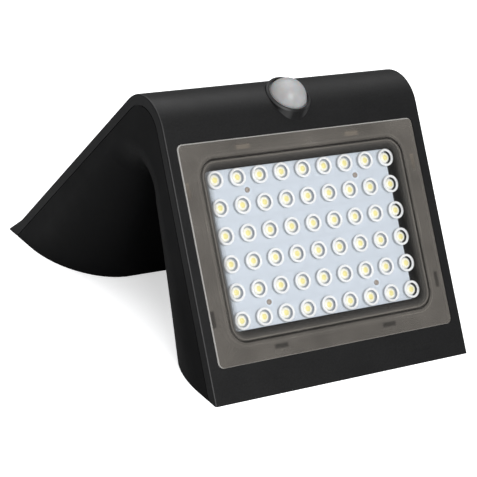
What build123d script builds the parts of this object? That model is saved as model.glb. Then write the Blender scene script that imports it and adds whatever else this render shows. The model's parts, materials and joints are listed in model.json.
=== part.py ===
"""Solar wall flood light with a V-shaped body, built as separate pieces.

Frame: X along the ridge, Y along the wall, Z out of the wall. The wall plane is z = 0, and the
origin is the middle of the footprint. The lamp wing leans on the -Y side of the ridge and the
solar wing on the +Y side. All sizes are in millimetres and all angles in degrees.
"""

import os
from math import asin, cos, degrees, hypot, radians, sin, tan

from build123d import *

os.makedirs("parts", exist_ok=True)

# ---------------------------------------------------------------- body: outer shape
housing_width = 178.0  # along the ridge
apex_height = 160.0  # where the two outer faces would meet, above the wall
led_tilt = 58.7  # lamp face to the wall
solar_tilt = 45.4  # solar face to the wall
ridge_radius = 25.5
flare_height = 13.0  # the solar face turns outwards below this height
flare_tilt = 37.6
edge_round = 1.0

# ---------------------------------------------------------------- body: shells
shell_wall = 2.6
cover_wall = 2.6
seam_depth = 6.6  # parting line below the outer faces
seam_groove = 0.6  # shadow line along the parting line
gasket_width = 1.4
gasket_height = 1.5
led_foot_depth = 76.0  # lamp wing along the wall
solar_foot_depth = 93.0  # solar wing along the wall
valley_height = 114.6  # where the two inner faces would meet
valley_lean = 6.6  # how far that line lies to the solar side of the outer apex line
valley_radius = 12.0
led_corner, led_rise = 37.0, 58.0  # flank rounding at the lamp wing's foot: width, depth
solar_corner, solar_rise = 39.0, 60.0
ridge_corner, ridge_rise = 28.0, 22.0
hull_reach = 120.0

# ---------------------------------------------------------------- lamp window and LED board
panel_rise = 83.8  # centre of the LED grid, up the lamp face from its foot
window_width, window_height = 164.4, 125.6
window_drop = 1.2  # window centre below the grid centre
window_thickness = 2.6
window_corner = 3.5
window_gap = 0.25
pocket_width, pocket_height = 142.0, 104.4
pocket_corner = 11.0
pocket_drop = 0.5
pocket_wall = 2.0
ledge_thickness = 2.2
step_height = 1.2  # rim under the window that enters the pocket
step_width = 1.6
clip_width, clip_length, clip_thickness = 9.0, 6.5, 1.5
clip_gap = 0.25
clip_barb = 0.8
window_gasket_width, window_gasket_height = 2.0, 0.9
led_columns, led_rows = 9, 6
led_pitch_x, led_pitch_y = 15.0, 16.0
led_board_width, led_board_height, led_board_thickness = 125.4, 91.0, 1.6
lens_sheet_thickness = 1.0
lens_radius, lens_height = 5.3, 2.6
lens_crown = 1.7  # rounding of the lens rim
lens_cavity_radius, lens_cavity_depth = 3.2, 2.0
lens_air_gap = 0.6  # lens tops below the window
chip_size, chip_height = 3.0, 0.75
board_screw_x, board_screw_y = 38.0, 32.3
board_screw_radius = 1.25
board_screw_head, board_screw_head_height = 2.4, 1.3
board_screw_length = 6.5
board_boss_radius, board_boss_height = 3.4, 6.0
screw_gap = 0.1  # radial clearance of a screw in a plain hole

# ---------------------------------------------------------------- motion sensor
sensor_tilt = 28.8  # sensor axis leans this far to the lamp side
dome_radius, dome_height, dome_wall = 11.6, 8.6, 1.0
dome_gap = 0.6  # ring groove round the dome
dome_seat = 0.4  # dome base below the top of the collar
collar_radius, collar_rise = 13.8, 1.3
collar_flare = 6.6
collar_edge = 0.9
socket_depth = 10.5  # collar socket, below the ridge surface
flange_width, flange_thickness = 1.5, 1.2
retainer_plate = 2.0
retainer_bore = 8.5
sensor_board_thickness = 1.2
sensor_board_margin = 0.3
sensor_can_radius, sensor_can_height = 4.6, 4.2
sensor_window_width, sensor_window_length, sensor_window_depth = 4.0, 3.0, 0.4
sensor_screw_x, sensor_screw_radius, sensor_screw_head = 15.1, 0.9, 1.6
sensor_screw_head_height, sensor_screw_length = 1.4, 7.0

# ---------------------------------------------------------------- solar panel
panel_width, panel_height = 164.0, 150.0
panel_corner = 3.0
panel_gap = 0.3
adhesive_width, adhesive_thickness = 6.0, 0.6
backing_thickness = 1.0
cell_layer = 0.4
glass_thickness = 1.2
solar_floor = 2.4
cell_rows, cell_columns = 2, 6
cell_width, cell_height = 24.0, 66.0
cell_gap = 1.6
ribbon_width, ribbon_thickness = 1.4, 0.15
lead_hole_radius = 3.5

# ---------------------------------------------------------------- housing screws
screw_radius = 1.5
screw_head_radius, screw_head_height = 2.8, 2.0
screw_length = 10.0
foot_boss_inset = 16.0  # lamp-side screws from the lamp foot
solar_boss_inset = 30.0  # solar-side screws from the solar tip
foot_screw_spread = 70.0
ridge_screw_spread = 50.0
seat_height = 8.0  # top of the seat plates at the wing ends
ridge_seat_height = 113.0
seat_thickness = 2.4
boss_radius = 4.2
well_radius = 3.4
well_wall = 1.8
boss_gap = 0.15  # between a boss and its seat plate

# ---------------------------------------------------------------- electronics in the solar wing
post_radius, post_height = 3.0, 5.0
control_width, control_height, control_thickness = 84.0, 46.0, 1.6
control_offset = 28.0  # towards the ridge from the panel centre
control_inset = 4.0  # screw centres from the board's edges
pack_offset = -34.0  # battery pack, towards the wall from the panel centre
cell_radius, cell_length = 9.2, 65.0
cell_spacing = 20.2
cradle_floor, cradle_end, cradle_wall = 2.0, 3.0, 1.4
cradle_side = 9.0  # height of the cradle's long walls
cradle_ear = 5.0
contact_thickness = 0.6
cell_fit = 0.15
cell_button, cell_button_radius = 1.2, 2.8  # raised positive end
contact_radius = 6.0
small_screw_radius, small_screw_head, small_screw_head_height = 1.2, 2.2, 1.4
small_screw_length = 6.0

# ---------------------------------------------------------------- mode button on the lamp wing
button_rise = 34.0  # up the lamp wing's inner face from the wall
button_radius = 5.0
button_clearance = 0.06
button_stand = 1.4  # top of the button above its pad
button_travel = 1.0
button_flange, button_flange_thickness = 1.3, 1.2
button_stem_radius, button_stem_length = 1.8, 2.4
pad_radius, pad_rise, pad_depth = 10.0, 0.8, 3.4
switch_body, switch_height = 6.0, 3.4
switch_board_width, switch_board_height, switch_board_thickness = 34.0, 14.0, 1.6
switch_post_x, switch_post_radius = 13.5, 2.6
switch_slack = 0.1
flange_slack = 0.05

# ---------------------------------------------------------------- wall bracket
bracket_width, bracket_length, bracket_thickness = 112.0, 36.0, 2.0
bracket_gap = 0.3
bracket_inset = 17.0  # plate's near edge from the inner edge of the solar wing's foot
bracket_corner = 5.0
pad_floor = 2.4  # wall of the bracket recess
hook_spread = 84.0
hook_width, hook_lip = 14.0, 5.0
hook_gap = 0.4
wall_hole_spacing, wall_hole_radius = 48.0, 2.6
lock_tab_width, lock_tab_height = 18.0, 16.0
lock_screw_radius, lock_screw_head, lock_screw_head_height = 2.0, 3.6, 2.4
lock_screw_length, lock_screw_rise = 10.0, 9.5
lock_boss_radius = 5.0

# ---------------------------------------------------------------- worked-out places
led_s, led_c, led_t = sin(radians(led_tilt)), cos(radians(led_tilt)), tan(radians(led_tilt))
sol_s, sol_c, sol_t = sin(radians(solar_tilt)), cos(radians(solar_tilt)), tan(radians(solar_tilt))
flare_t = tan(radians(flare_tilt))
wall_length = apex_height / led_t + (apex_height - flare_height) / sol_t + flare_height / flare_t
led_foot_y = -wall_length / 2
solar_tip_y = wall_length / 2
apex_y = led_foot_y + apex_height / led_t
kink_y = solar_tip_y - flare_height / flare_t
half_width = housing_width / 2
apex_drop = (1 / led_s + 1 / sol_s) / (1 / led_t + 1 / sol_t)  # apex height lost per mm of depth
arc_y = apex_y + ridge_radius * (1 / led_s - apex_drop / led_t)
arc_z = apex_height - ridge_radius * apex_drop

led_inner_y = led_foot_y + led_foot_depth  # inner edge of the lamp wing's foot
solar_inner_y = solar_tip_y - solar_foot_depth
valley_y = apex_y + valley_lean
led_run, solar_run = valley_y - led_inner_y, solar_inner_y - valley_y

led_up, led_out = Vector(0, led_c, led_s), Vector(0, -led_s, led_c)
led_foot = Vector(0, led_foot_y, 0)
led_plane = Plane(led_foot + led_up * panel_rise, x_dir=(1, 0, 0), z_dir=led_out)
window_plane = Plane(led_plane.origin - led_up * window_drop, x_dir=(1, 0, 0), z_dir=led_out)
pocket_plane = Plane(led_plane.origin - led_up * pocket_drop, x_dir=(1, 0, 0), z_dir=led_out)

solar_up, solar_out = Vector(0, -sol_c, sol_s), Vector(0, sol_s, sol_c)
arc_reach = ridge_radius * tan(radians(led_tilt + solar_tilt) / 2)
solar_straight = (apex_height - flare_height) / sol_s - arc_reach
solar_plane = Plane(
    Vector(0, kink_y, flare_height) + solar_up * (solar_straight / 2), x_dir=(-1, 0, 0), z_dir=solar_out
)

sensor_axis = Vector(0, -sin(radians(sensor_tilt)), cos(radians(sensor_tilt)))
arc_centre = Vector(0, arc_y, arc_z)
sensor_section = Plane(arc_centre, x_dir=(1, 0, 0), z_dir=Vector(1, 0, 0).cross(sensor_axis))
sensor_line = Axis(arc_centre, sensor_axis)


def sensor_level(height):
    """Plane across the sensor axis, at a height above the ridge's centre line."""
    return Plane(arc_centre + sensor_axis * height, x_dir=(1, 0, 0), z_dir=sensor_axis)


led_face_length = hypot(led_run, valley_height)
button_up = Vector(0, led_run / led_face_length, valley_height / led_face_length)
button_out = Vector(0, button_up.Z, -button_up.Y)
button_centre = Vector(0, led_inner_y, 0) + button_up * button_rise
button_plane = Plane(button_centre, x_dir=(-1, 0, 0), z_dir=button_out)

solar_face_length = hypot(solar_run, valley_height)
tab_up = Vector(0, -solar_run / solar_face_length, valley_height / solar_face_length)
tab_out = Vector(0, -tab_up.Z, tab_up.Y)


valley_half = (button_up.get_angle(Vector(0, 0, 1)) + tab_up.get_angle(Vector(0, 0, 1))) / 2
valley_turn = 180 - 2 * valley_half
valley_back = valley_radius / tan(radians(valley_half))  # from the meeting line to each bend start
valley_start_led = valley_height - valley_back * button_up.Z
valley_start_solar = valley_height - valley_back * tab_up.Z
valley_centre = Vector(0, valley_y, valley_height) - button_up * valley_back + button_out * valley_radius
valley_line = Axis(valley_centre, (1, 0, 0))


# ---------------------------------------------------------------- shared shapes
def lambda_section(depth, bottom=0.0):
    """Side section of all that lies below the outer faces moved inwards by depth, down to bottom."""
    height = apex_height - depth * apex_drop
    foot = led_foot_y + depth / led_s + bottom / led_t
    tip = kink_y + (flare_height - bottom) / sol_t - depth / sol_s
    peak = led_foot_y + depth / led_s + height / led_t
    with BuildSketch(Plane.YZ) as section:
        with BuildLine():
            Polyline((foot, bottom), (peak, height), (tip, bottom), close=True)
        make_face()
        fillet(section.vertices().sort_by(Axis.Y)[-1], ridge_radius - depth)
    return section.sketch


def outer_section():
    """Side section of the whole body's outside, with the flare at the solar tip."""
    with BuildSketch(Plane.YZ) as section:
        with BuildLine():
            Polyline(
                (led_foot_y, 0), (apex_y, apex_height), (kink_y, flare_height), (solar_tip_y, 0), close=True
            )
        make_face()
        fillet(section.vertices().sort_by(Axis.Y)[-1], ridge_radius)
    return section.sketch


def hull_section(inner, outward, corner, rise, inset=0.0):
    """Cross-section of a wing at an inner-face point (y, z), looking along the ridge's bend.

    The flank turns into the inner face along a quarter ellipse, corner wide and rise deep, and
    runs straight outwards past the outer face. inset moves the whole outline inwards.
    """
    width, turn, depth = half_width - inset, corner - inset, rise - inset
    plane = Plane(Vector(0, *inner), x_dir=(1, 0, 0), z_dir=Vector(1, 0, 0).cross(outward))
    with BuildSketch(plane) as section:
        with BuildLine():
            Line((width - turn, inset), (turn - width, inset))
            EllipticalCenterArc((turn - width, rise), turn, depth, 180, arc_size=90)
            Polyline((-width, rise), (-width, hull_reach), (width, hull_reach), (width, rise))
            EllipticalCenterArc((width - turn, rise), turn, depth, 270, arc_size=90)
        make_face()
    return section.sketch


def led_inner_point(height):
    """(y, z) on the lamp wing's inner face."""
    return (led_inner_y + led_run * height / valley_height, height)


def solar_inner_point(height):
    """(y, z) on the solar wing's inner face."""
    return (solar_inner_y - solar_run * height / valley_height, height)


def hull(inset=0.0, bottom=0.0):
    """Rear hull: two tapering wings joined by a bend about the valley, past the outer faces."""
    led_bend = led_inner_point(valley_start_led)
    solar_bend = solar_inner_point(valley_start_solar)
    bend_start = hull_section(led_bend, -button_out, ridge_corner, ridge_rise, inset)
    bend_end = hull_section(solar_bend, -tab_out, ridge_corner, ridge_rise, inset)
    led_foot_section = hull_section(
        led_inner_point(bottom), Vector(0, -1, 0), led_corner, led_rise, inset
    )
    solar_foot_section = hull_section(
        solar_inner_point(bottom), Vector(0, 1, 0), solar_corner, solar_rise, inset
    )
    with BuildPart() as body:
        loft([led_foot_section, bend_start], ruled=True)
        revolve(bend_start, axis=valley_line, revolution_arc=-valley_turn)
        loft([bend_end, solar_foot_section], ruled=True)
    return body.part


foot_screw_y = led_foot_y + foot_boss_inset
tip_screw_y = solar_tip_y - solar_boss_inset
foot_screw_places = [(x * foot_screw_spread, foot_screw_y) for x in (-1, 0, 1)]
tip_screw_places = [(x * foot_screw_spread, tip_screw_y) for x in (-1, 0, 1)]
ridge_screw_places = [(x * ridge_screw_spread, arc_y) for x in (-1, 1)]
end_screw_places = foot_screw_places + tip_screw_places

board_screw_places = [(x * board_screw_x, y * board_screw_y) for x in (-1, 1) for y in (-1, 1)]
lens_places = GridLocations(led_pitch_x, led_pitch_y, led_columns, led_rows).locations

board_top = window_thickness + lens_air_gap + lens_height + lens_sheet_thickness
pocket_depth = board_top + led_board_thickness
pocket_floor = pocket_depth + pocket_wall

clip_places = (
    [(x, window_height / 2 - 3.2, 0) for x in (-38, 38)]
    + [(x, 3.2 - window_height / 2, 0) for x in (-38, 38)]
    + [(window_width / 2 - 3.2, y, 90) for y in (-36, 36)]
    + [(3.2 - window_width / 2, y, 90) for y in (-36, 36)]
)

solar_recess = adhesive_thickness + backing_thickness + cell_layer + glass_thickness + 0.2
post_base = solar_recess + solar_floor  # depth where the posts start
post_top = post_base + post_height
control_places = [
    (x * (control_width / 2 - control_inset), control_offset + y * (control_height / 2 - control_inset))
    for x in (-1, 1)
    for y in (-1, 1)
]
cradle_width = cell_length + 2 * (cradle_end + contact_thickness + cell_fit)
cradle_height = 2 * cell_radius + cell_spacing + 2 * (cradle_wall + cell_fit)
cradle_places = [(x * (cradle_width / 2 + cradle_ear / 2), pack_offset) for x in (-1, 1)]
post_places = control_places + cradle_places

collar_top = ridge_radius + collar_rise
flange_top = collar_top - dome_seat - 1.6
socket_floor = ridge_radius - socket_depth
flange_radius = dome_radius + flange_width
socket_radius = flange_radius + 0.2
plate_radius = sensor_screw_x + sensor_screw_head + 0.2
sensor_screw_places = [(x * sensor_screw_x, 0) for x in (-1, 1)]

pad_underside = pad_rise - pad_depth
switch_post_places = [(-switch_post_x, 0), (switch_post_x, 0)]
switch_board_depth = (
    -pad_underside
    + flange_slack
    + button_flange_thickness
    + button_stem_length
    + button_travel
    + switch_slack
    + switch_height
)
lock_plane = Plane(
    Vector(0, solar_inner_y, 0) + tab_up * lock_screw_rise, x_dir=(1, 0, 0), z_dir=tab_out
)
tab_foot_y = solar_inner_y - bracket_gap / tab_up.Z
notch_y = tab_foot_y - 2 * bracket_thickness
bracket_y = solar_inner_y + bracket_inset + bracket_length / 2
hook_places = [(x * hook_spread / 2, bracket_y) for x in (-1, 1)]
wall_hole_places = [(x * wall_hole_spacing / 2, bracket_y) for x in (-1, 1)]
recess_depth = bracket_thickness + bracket_gap
slot_length = hook_lip + bracket_thickness + 2 * hook_gap
hook_start = slot_length / 2 - hook_gap - bracket_thickness  # the light has slid down onto its hooks
hook_level = recess_depth + pad_floor + hook_gap

# ---------------------------------------------------------------- front housing
with BuildPart() as front_housing:
    extrude(outer_section(), amount=half_width, both=True)
    rims = front_housing.faces().filter_by(Axis.X).edges().filter_by(lambda e: e.center().Z > 0.1)
    fillet(rims, edge_round)
    extrude(lambda_section(seam_depth), amount=half_width + 1, both=True, mode=Mode.SUBTRACT)
    extrude(
        lambda_section(shell_wall, shell_wall), amount=half_width - shell_wall, both=True, mode=Mode.SUBTRACT
    )
    rebate = shell_wall - gasket_width
    extrude(
        lambda_section(seam_depth - gasket_height, rebate),
        amount=half_width - rebate,
        both=True,
        mode=Mode.SUBTRACT,
    )

with BuildPart() as seam_line:
    extrude(lambda_section(seam_depth - seam_groove), amount=half_width + 1, both=True)
    extrude(lambda_section(0, -1), amount=half_width - seam_groove, both=True, mode=Mode.SUBTRACT)

with BuildPart() as screw_bosses:
    with BuildSketch(Plane.XY.offset(seat_height + boss_gap)):
        with Locations(*end_screw_places):
            Circle(boss_radius)
    extrude(amount=apex_height)
    with BuildSketch(Plane.XY.offset(ridge_seat_height + boss_gap)):
        with Locations(*ridge_screw_places):
            Circle(boss_radius)
    extrude(amount=apex_height)
    extrude(lambda_section(shell_wall / 2, -1), amount=half_width, both=True, mode=Mode.INTERSECT)

with BuildPart() as sensor_collar:
    with BuildSketch(sensor_section):
        with BuildLine():
            Polyline(
                (0, collar_top),
                (0, socket_floor),
                (collar_radius + collar_flare, socket_floor),
            )
            Bezier(
                (collar_radius + collar_flare, socket_floor),
                (collar_radius + 1.4, socket_floor + 2.5),
                (collar_radius, collar_top - collar_edge),
            )
            Line((collar_radius, collar_top - collar_edge), (collar_radius - collar_edge, collar_top))
            Line((collar_radius - collar_edge, collar_top), (0, collar_top))
        make_face()
    revolve(axis=sensor_line)

with front_housing:
    add(seam_line.part, mode=Mode.SUBTRACT)
    # lamp side: ledge under the window and the pocket for the board
    with BuildSketch(window_plane):
        RectangleRounded(
            window_width + 2 * pocket_wall, window_height + 2 * pocket_wall, window_corner + pocket_wall
        )
    extrude(amount=-(window_thickness + ledge_thickness))
    with BuildSketch(pocket_plane):
        RectangleRounded(
            pocket_width + 2 * pocket_wall, pocket_height + 2 * pocket_wall, pocket_corner + pocket_wall
        )
    extrude(amount=-pocket_floor)
    with BuildSketch(led_plane.offset(-pocket_floor)):
        with Locations(*board_screw_places):
            Circle(board_boss_radius)
    extrude(amount=pocket_wall - board_boss_height)
    # solar side: floor of the panel recess and the posts behind it
    with BuildSketch(solar_plane):
        RectangleRounded(
            panel_width + 2 * shell_wall, panel_height + 2 * shell_wall, panel_corner + shell_wall
        )
    extrude(amount=-post_base)
    with BuildSketch(solar_plane.offset(-post_base + 0.1)):
        with Locations(*post_places):
            Circle(post_radius)
    extrude(amount=-(post_height + 0.1))
    add(screw_bosses.part)
    add(sensor_collar.part)
    # cut-outs
    with BuildSketch(window_plane):
        RectangleRounded(
            window_width + 2 * window_gap, window_height + 2 * window_gap, window_corner + window_gap
        )
    extrude(amount=-window_thickness, mode=Mode.SUBTRACT)
    with BuildSketch(pocket_plane):
        RectangleRounded(pocket_width, pocket_height, pocket_corner)
    extrude(amount=-pocket_depth, mode=Mode.SUBTRACT)
    with BuildSketch(pocket_plane.offset(-window_thickness)):
        grow = 2 * window_gasket_width + 3.0
        RectangleRounded(pocket_width + grow, pocket_height + grow, pocket_corner + grow / 2)
        RectangleRounded(pocket_width + 3.0, pocket_height + 3.0, pocket_corner + 1.5, mode=Mode.SUBTRACT)
    extrude(amount=-window_gasket_height, mode=Mode.SUBTRACT)
    with BuildSketch(window_plane.offset(-window_thickness)):
        for clip_x, clip_y, clip_turn in clip_places:
            with Locations((clip_x, clip_y)):
                Rectangle(
                    clip_width + 2 * clip_gap, clip_thickness + 2 * clip_gap, rotation=clip_turn
                )
    extrude(amount=-(ledge_thickness + 1), mode=Mode.SUBTRACT)
    with BuildSketch(led_plane.offset(-pocket_depth)):
        with Locations(*board_screw_places):
            Circle(board_screw_radius)
    extrude(amount=-(pocket_wall + board_boss_height - 1.5), mode=Mode.SUBTRACT)
    with BuildSketch(led_plane.offset(-pocket_depth)):
        with Locations((0, led_board_height / 2 - 6)):
            Circle(lead_hole_radius)
    extrude(amount=-(pocket_wall + 1), mode=Mode.SUBTRACT)
    with BuildSketch(solar_plane):
        RectangleRounded(panel_width + 2 * panel_gap, panel_height + 2 * panel_gap, panel_corner + panel_gap)
    extrude(amount=-solar_recess, mode=Mode.SUBTRACT)
    with BuildSketch(solar_plane.offset(-solar_recess)):
        with Locations((0, -1)):
            Circle(lead_hole_radius)
    extrude(amount=-(solar_floor + 1), mode=Mode.SUBTRACT)
    with BuildSketch(solar_plane.offset(-post_top)):
        with Locations(*post_places):
            Circle(small_screw_radius)
    extrude(amount=small_screw_length, mode=Mode.SUBTRACT)
    with BuildSketch(sensor_level(flange_top + 0.1)):
        Circle(socket_radius)
    extrude(amount=-(flange_top + 0.1), mode=Mode.SUBTRACT)
    with BuildSketch(sensor_level(0)):
        Circle(dome_radius + dome_gap)
    extrude(amount=collar_top + 1, mode=Mode.SUBTRACT)
    with BuildSketch(sensor_level(socket_floor)):
        with Locations(*sensor_screw_places):
            Circle(sensor_screw_radius)
    extrude(amount=sensor_screw_length, mode=Mode.SUBTRACT)
    with BuildSketch(Plane.XY.offset(seat_height)):
        with Locations(*end_screw_places):
            Circle(screw_radius)
    extrude(amount=screw_length - seat_thickness + 0.5, mode=Mode.SUBTRACT)
    with BuildSketch(Plane.XY.offset(ridge_seat_height)):
        with Locations(*ridge_screw_places):
            Circle(screw_radius)
    extrude(amount=screw_length - seat_thickness + 0.5, mode=Mode.SUBTRACT)

front_housing.part.label = "front_housing"
export_step(front_housing.part, "parts/front_housing.step")

# ---------------------------------------------------------------- seam gasket
with BuildPart() as seam_gasket:
    extrude(
        lambda_section(seam_depth - gasket_height, rebate), amount=half_width - rebate, both=True
    )
    extrude(lambda_section(seam_depth), amount=half_width + 1, both=True, mode=Mode.SUBTRACT)
    extrude(
        lambda_section(shell_wall, shell_wall), amount=half_width - shell_wall, both=True, mode=Mode.SUBTRACT
    )

seam_gasket.part.label = "seam_gasket"
export_step(seam_gasket.part, "parts/seam_gasket.step")

# ---------------------------------------------------------------- rear cover
with BuildPart() as cover_fittings:
    # screw wells, standing on the wing ends and in the bend
    with BuildSketch(Plane.XY):
        with Locations(*end_screw_places):
            Circle(well_radius + well_wall)
    extrude(amount=seat_height)
    with BuildSketch(Plane.XY.offset(ridge_seat_height)):
        with Locations(*ridge_screw_places):
            Circle(well_radius + well_wall)
    extrude(amount=valley_centre.Z - ridge_seat_height)
    # pad that holds the wall bracket, with its slots' lips
    with BuildSketch(Plane.XY):
        with Locations((0, bracket_y)):
            Rectangle(bracket_width + 2 * well_wall, bracket_length + 2 * well_wall)
    extrude(amount=recess_depth + pad_floor)
    # boss for the lock screw, behind the bracket's tab
    with BuildSketch(lock_plane):
        Circle(lock_boss_radius)
    extrude(amount=-(lock_screw_length + cover_wall))
    # button pad and the two posts of the switch board
    with BuildSketch(button_plane.offset(pad_rise)):
        Circle(pad_radius)
    extrude(amount=-pad_depth)
    with BuildSketch(button_plane.offset(-cover_wall / 2)):
        with Locations(*switch_post_places):
            Circle(switch_post_radius)
    extrude(amount=cover_wall / 2 - switch_board_depth)

with BuildPart() as rear_cover:
    add(hull())
    extrude(lambda_section(seam_depth), amount=half_width + 1, both=True, mode=Mode.INTERSECT)
    add(hull(cover_wall, cover_wall), mode=Mode.SUBTRACT)
    add(cover_fittings.part)
    with BuildSketch(Plane.XY):
        with Locations(*end_screw_places):
            Circle(well_radius)
    extrude(amount=seat_height - seat_thickness, mode=Mode.SUBTRACT)
    with BuildSketch(Plane.XY.offset(ridge_seat_height - seat_thickness)):
        with Locations(*ridge_screw_places):
            Circle(well_radius)
    extrude(amount=-(ridge_seat_height - valley_height / 2), mode=Mode.SUBTRACT)
    with BuildSketch(Plane.XY):
        with Locations(*end_screw_places, *ridge_screw_places):
            Circle(screw_radius + screw_gap)
    extrude(amount=apex_height, mode=Mode.SUBTRACT)
    with BuildSketch(Plane.XY):
        with Locations((0, bracket_y)):
            RectangleRounded(
                bracket_width + 2 * bracket_gap, bracket_length + 2 * bracket_gap, bracket_corner
            )
        with Locations((0, (notch_y + bracket_y) / 2)):
            Rectangle(lock_tab_width + 2 * bracket_gap, bracket_y - notch_y)
    extrude(amount=recess_depth, mode=Mode.SUBTRACT)
    with BuildSketch(Plane.XY.offset(recess_depth)):
        with Locations(*hook_places):
            Rectangle(hook_width + 2 * hook_gap, slot_length)
    extrude(amount=pad_floor + 0.1, mode=Mode.SUBTRACT)
    with BuildSketch(lock_plane):
        Circle(lock_screw_radius)
    extrude(amount=-(lock_screw_length + 0.5), mode=Mode.SUBTRACT)
    with BuildSketch(button_plane.offset(pad_rise)):
        Circle(button_radius + button_clearance)
    extrude(amount=-(pad_depth + cover_wall), mode=Mode.SUBTRACT)
    with BuildSketch(button_plane.offset(-switch_board_depth)):
        with Locations(*switch_post_places):
            Circle(small_screw_radius)
    extrude(amount=small_screw_length - switch_board_thickness, mode=Mode.SUBTRACT)

rear_cover.part.label = "rear_cover"
export_step(rear_cover.part, "parts/rear_cover.step")


# ---------------------------------------------------------------- fasteners
def screws(plane, places, radius, length, head_radius, head_height):
    """Pan-head screws with a cross recess: heads under the plane, shanks along its normal."""
    with BuildPart() as group:
        with BuildSketch(plane):
            with Locations(*places):
                Circle(radius)
        extrude(amount=length)
        with BuildSketch(plane):
            with Locations(*places):
                Circle(head_radius)
        extrude(amount=-head_height)
        with BuildSketch(plane.offset(-head_height)):
            with Locations(*places):
                Rectangle(head_radius, head_radius / 4)
                Rectangle(head_radius / 4, head_radius)
        extrude(amount=head_height / 2, mode=Mode.SUBTRACT)
    return group.part


with BuildPart() as housing_screws:
    add(
        screws(
            Plane.XY.offset(seat_height - seat_thickness),
            end_screw_places,
            screw_radius,
            screw_length,
            screw_head_radius,
            screw_head_height,
        )
    )
    add(
        screws(
            Plane.XY.offset(ridge_seat_height - seat_thickness),
            ridge_screw_places,
            screw_radius,
            screw_length,
            screw_head_radius,
            screw_head_height,
        )
    )

housing_screws.part.label = "housing_screws"
export_step(housing_screws.part, "parts/housing_screws.step")

# ---------------------------------------------------------------- lamp window
with BuildPart() as lamp_window:
    with BuildSketch(window_plane):
        RectangleRounded(window_width, window_height, window_corner)
    extrude(amount=-window_thickness)
    chamfer(lamp_window.faces().sort_by(Axis(window_plane.origin, led_out))[-1].edges(), 0.4)
    with BuildSketch(pocket_plane.offset(-window_thickness)):
        RectangleRounded(
            pocket_width - 2 * window_gap, pocket_height - 2 * window_gap, pocket_corner - window_gap
        )
        RectangleRounded(
            pocket_width - 2 * (window_gap + step_width),
            pocket_height - 2 * (window_gap + step_width),
            pocket_corner - window_gap - step_width,
            mode=Mode.SUBTRACT,
        )
    extrude(amount=-step_height)
    with BuildSketch(window_plane.offset(-window_thickness)):
        for clip_x, clip_y, clip_turn in clip_places:
            with Locations((clip_x, clip_y)):
                Rectangle(clip_width, clip_thickness, rotation=clip_turn)
    extrude(amount=-clip_length)
    with BuildSketch(window_plane.offset(-(window_thickness + ledge_thickness + 0.2))):
        for clip_x, clip_y, clip_turn in clip_places:
            barb_x = clip_barb if clip_x > 0 else -clip_barb
            barb_y = clip_barb if clip_y > 0 else -clip_barb
            with Locations((clip_x + (barb_x if clip_turn else 0), clip_y + (0 if clip_turn else barb_y))):
                Rectangle(clip_width, clip_thickness, rotation=clip_turn)
    extrude(amount=-clip_barb)

lamp_window.part.label = "lamp_window"
export_step(lamp_window.part, "parts/lamp_window.step")

with BuildPart() as window_gasket:
    with BuildSketch(pocket_plane.offset(-window_thickness)):
        RectangleRounded(pocket_width + grow, pocket_height + grow, pocket_corner + grow / 2)
        RectangleRounded(pocket_width + 3.0, pocket_height + 3.0, pocket_corner + 1.5, mode=Mode.SUBTRACT)
    extrude(amount=-window_gasket_height)

window_gasket.part.label = "window_gasket"
export_step(window_gasket.part, "parts/window_gasket.step")

# ---------------------------------------------------------------- LED board and its lens sheet
with BuildPart() as lens_sheet:
    with BuildSketch(led_plane.offset(-board_top)):
        RectangleRounded(led_board_width, led_board_height, 2)
    extrude(amount=lens_sheet_thickness)
    with BuildSketch(led_plane.offset(lens_sheet_thickness - board_top)):
        with Locations(*lens_places):
            Circle(lens_radius)
    extrude(amount=lens_height)
    crowns = lens_sheet.faces().filter_by(GeomType.PLANE).sort_by(Axis(led_plane.origin, led_out))
    fillet(crowns[-led_columns * led_rows :].edges(), lens_crown)
    with BuildSketch(led_plane.offset(-board_top)):
        with Locations(*lens_places):
            Circle(lens_cavity_radius)
    extrude(amount=lens_cavity_depth, mode=Mode.SUBTRACT)
    with BuildSketch(led_plane.offset(-board_top)):
        with Locations(*board_screw_places):
            Circle(board_screw_head + 0.4)
    extrude(amount=lens_sheet_thickness, mode=Mode.SUBTRACT)

lens_sheet.part.label = "lens_sheet"
export_step(lens_sheet.part, "parts/lens_sheet.step")

with BuildPart() as led_board:
    with BuildSketch(led_plane.offset(-pocket_depth)):
        RectangleRounded(led_board_width, led_board_height, 2)
        with Locations(*board_screw_places):
            Circle(board_screw_radius + screw_gap, mode=Mode.SUBTRACT)
        with Locations((0, led_board_height / 2 - 6)):
            Circle(lead_hole_radius / 2, mode=Mode.SUBTRACT)
    extrude(amount=led_board_thickness)

led_board.part.label = "led_board"
export_step(led_board.part, "parts/led_board.step")

with BuildPart() as led_chips:
    with BuildSketch(led_plane.offset(-board_top)):
        with Locations(*lens_places):
            Rectangle(chip_size, chip_size)
    extrude(amount=chip_height)

led_chips.part.label = "led_chips"
export_step(led_chips.part, "parts/led_chips.step")

led_board_screws = screws(
    Plane(led_plane.origin - led_out * board_top, x_dir=(1, 0, 0), z_dir=-led_out),
    [(x, -y) for x, y in board_screw_places],
    board_screw_radius,
    board_screw_length,
    board_screw_head,
    board_screw_head_height,
)
led_board_screws.label = "led_board_screws"
export_step(led_board_screws, "parts/led_board_screws.step")

# ---------------------------------------------------------------- motion sensor
dome_base = collar_top - dome_seat
dome_sphere = (dome_radius**2 + dome_height**2) / (2 * dome_height)
dome_centre = dome_base + dome_height - dome_sphere
dome_edge = degrees(asin((dome_base - dome_centre) / dome_sphere))
inner_sphere = dome_sphere - dome_wall
inner_edge = degrees(asin((dome_base - dome_centre) / inner_sphere))
dome_bore = inner_sphere * cos(radians(inner_edge))

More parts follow.
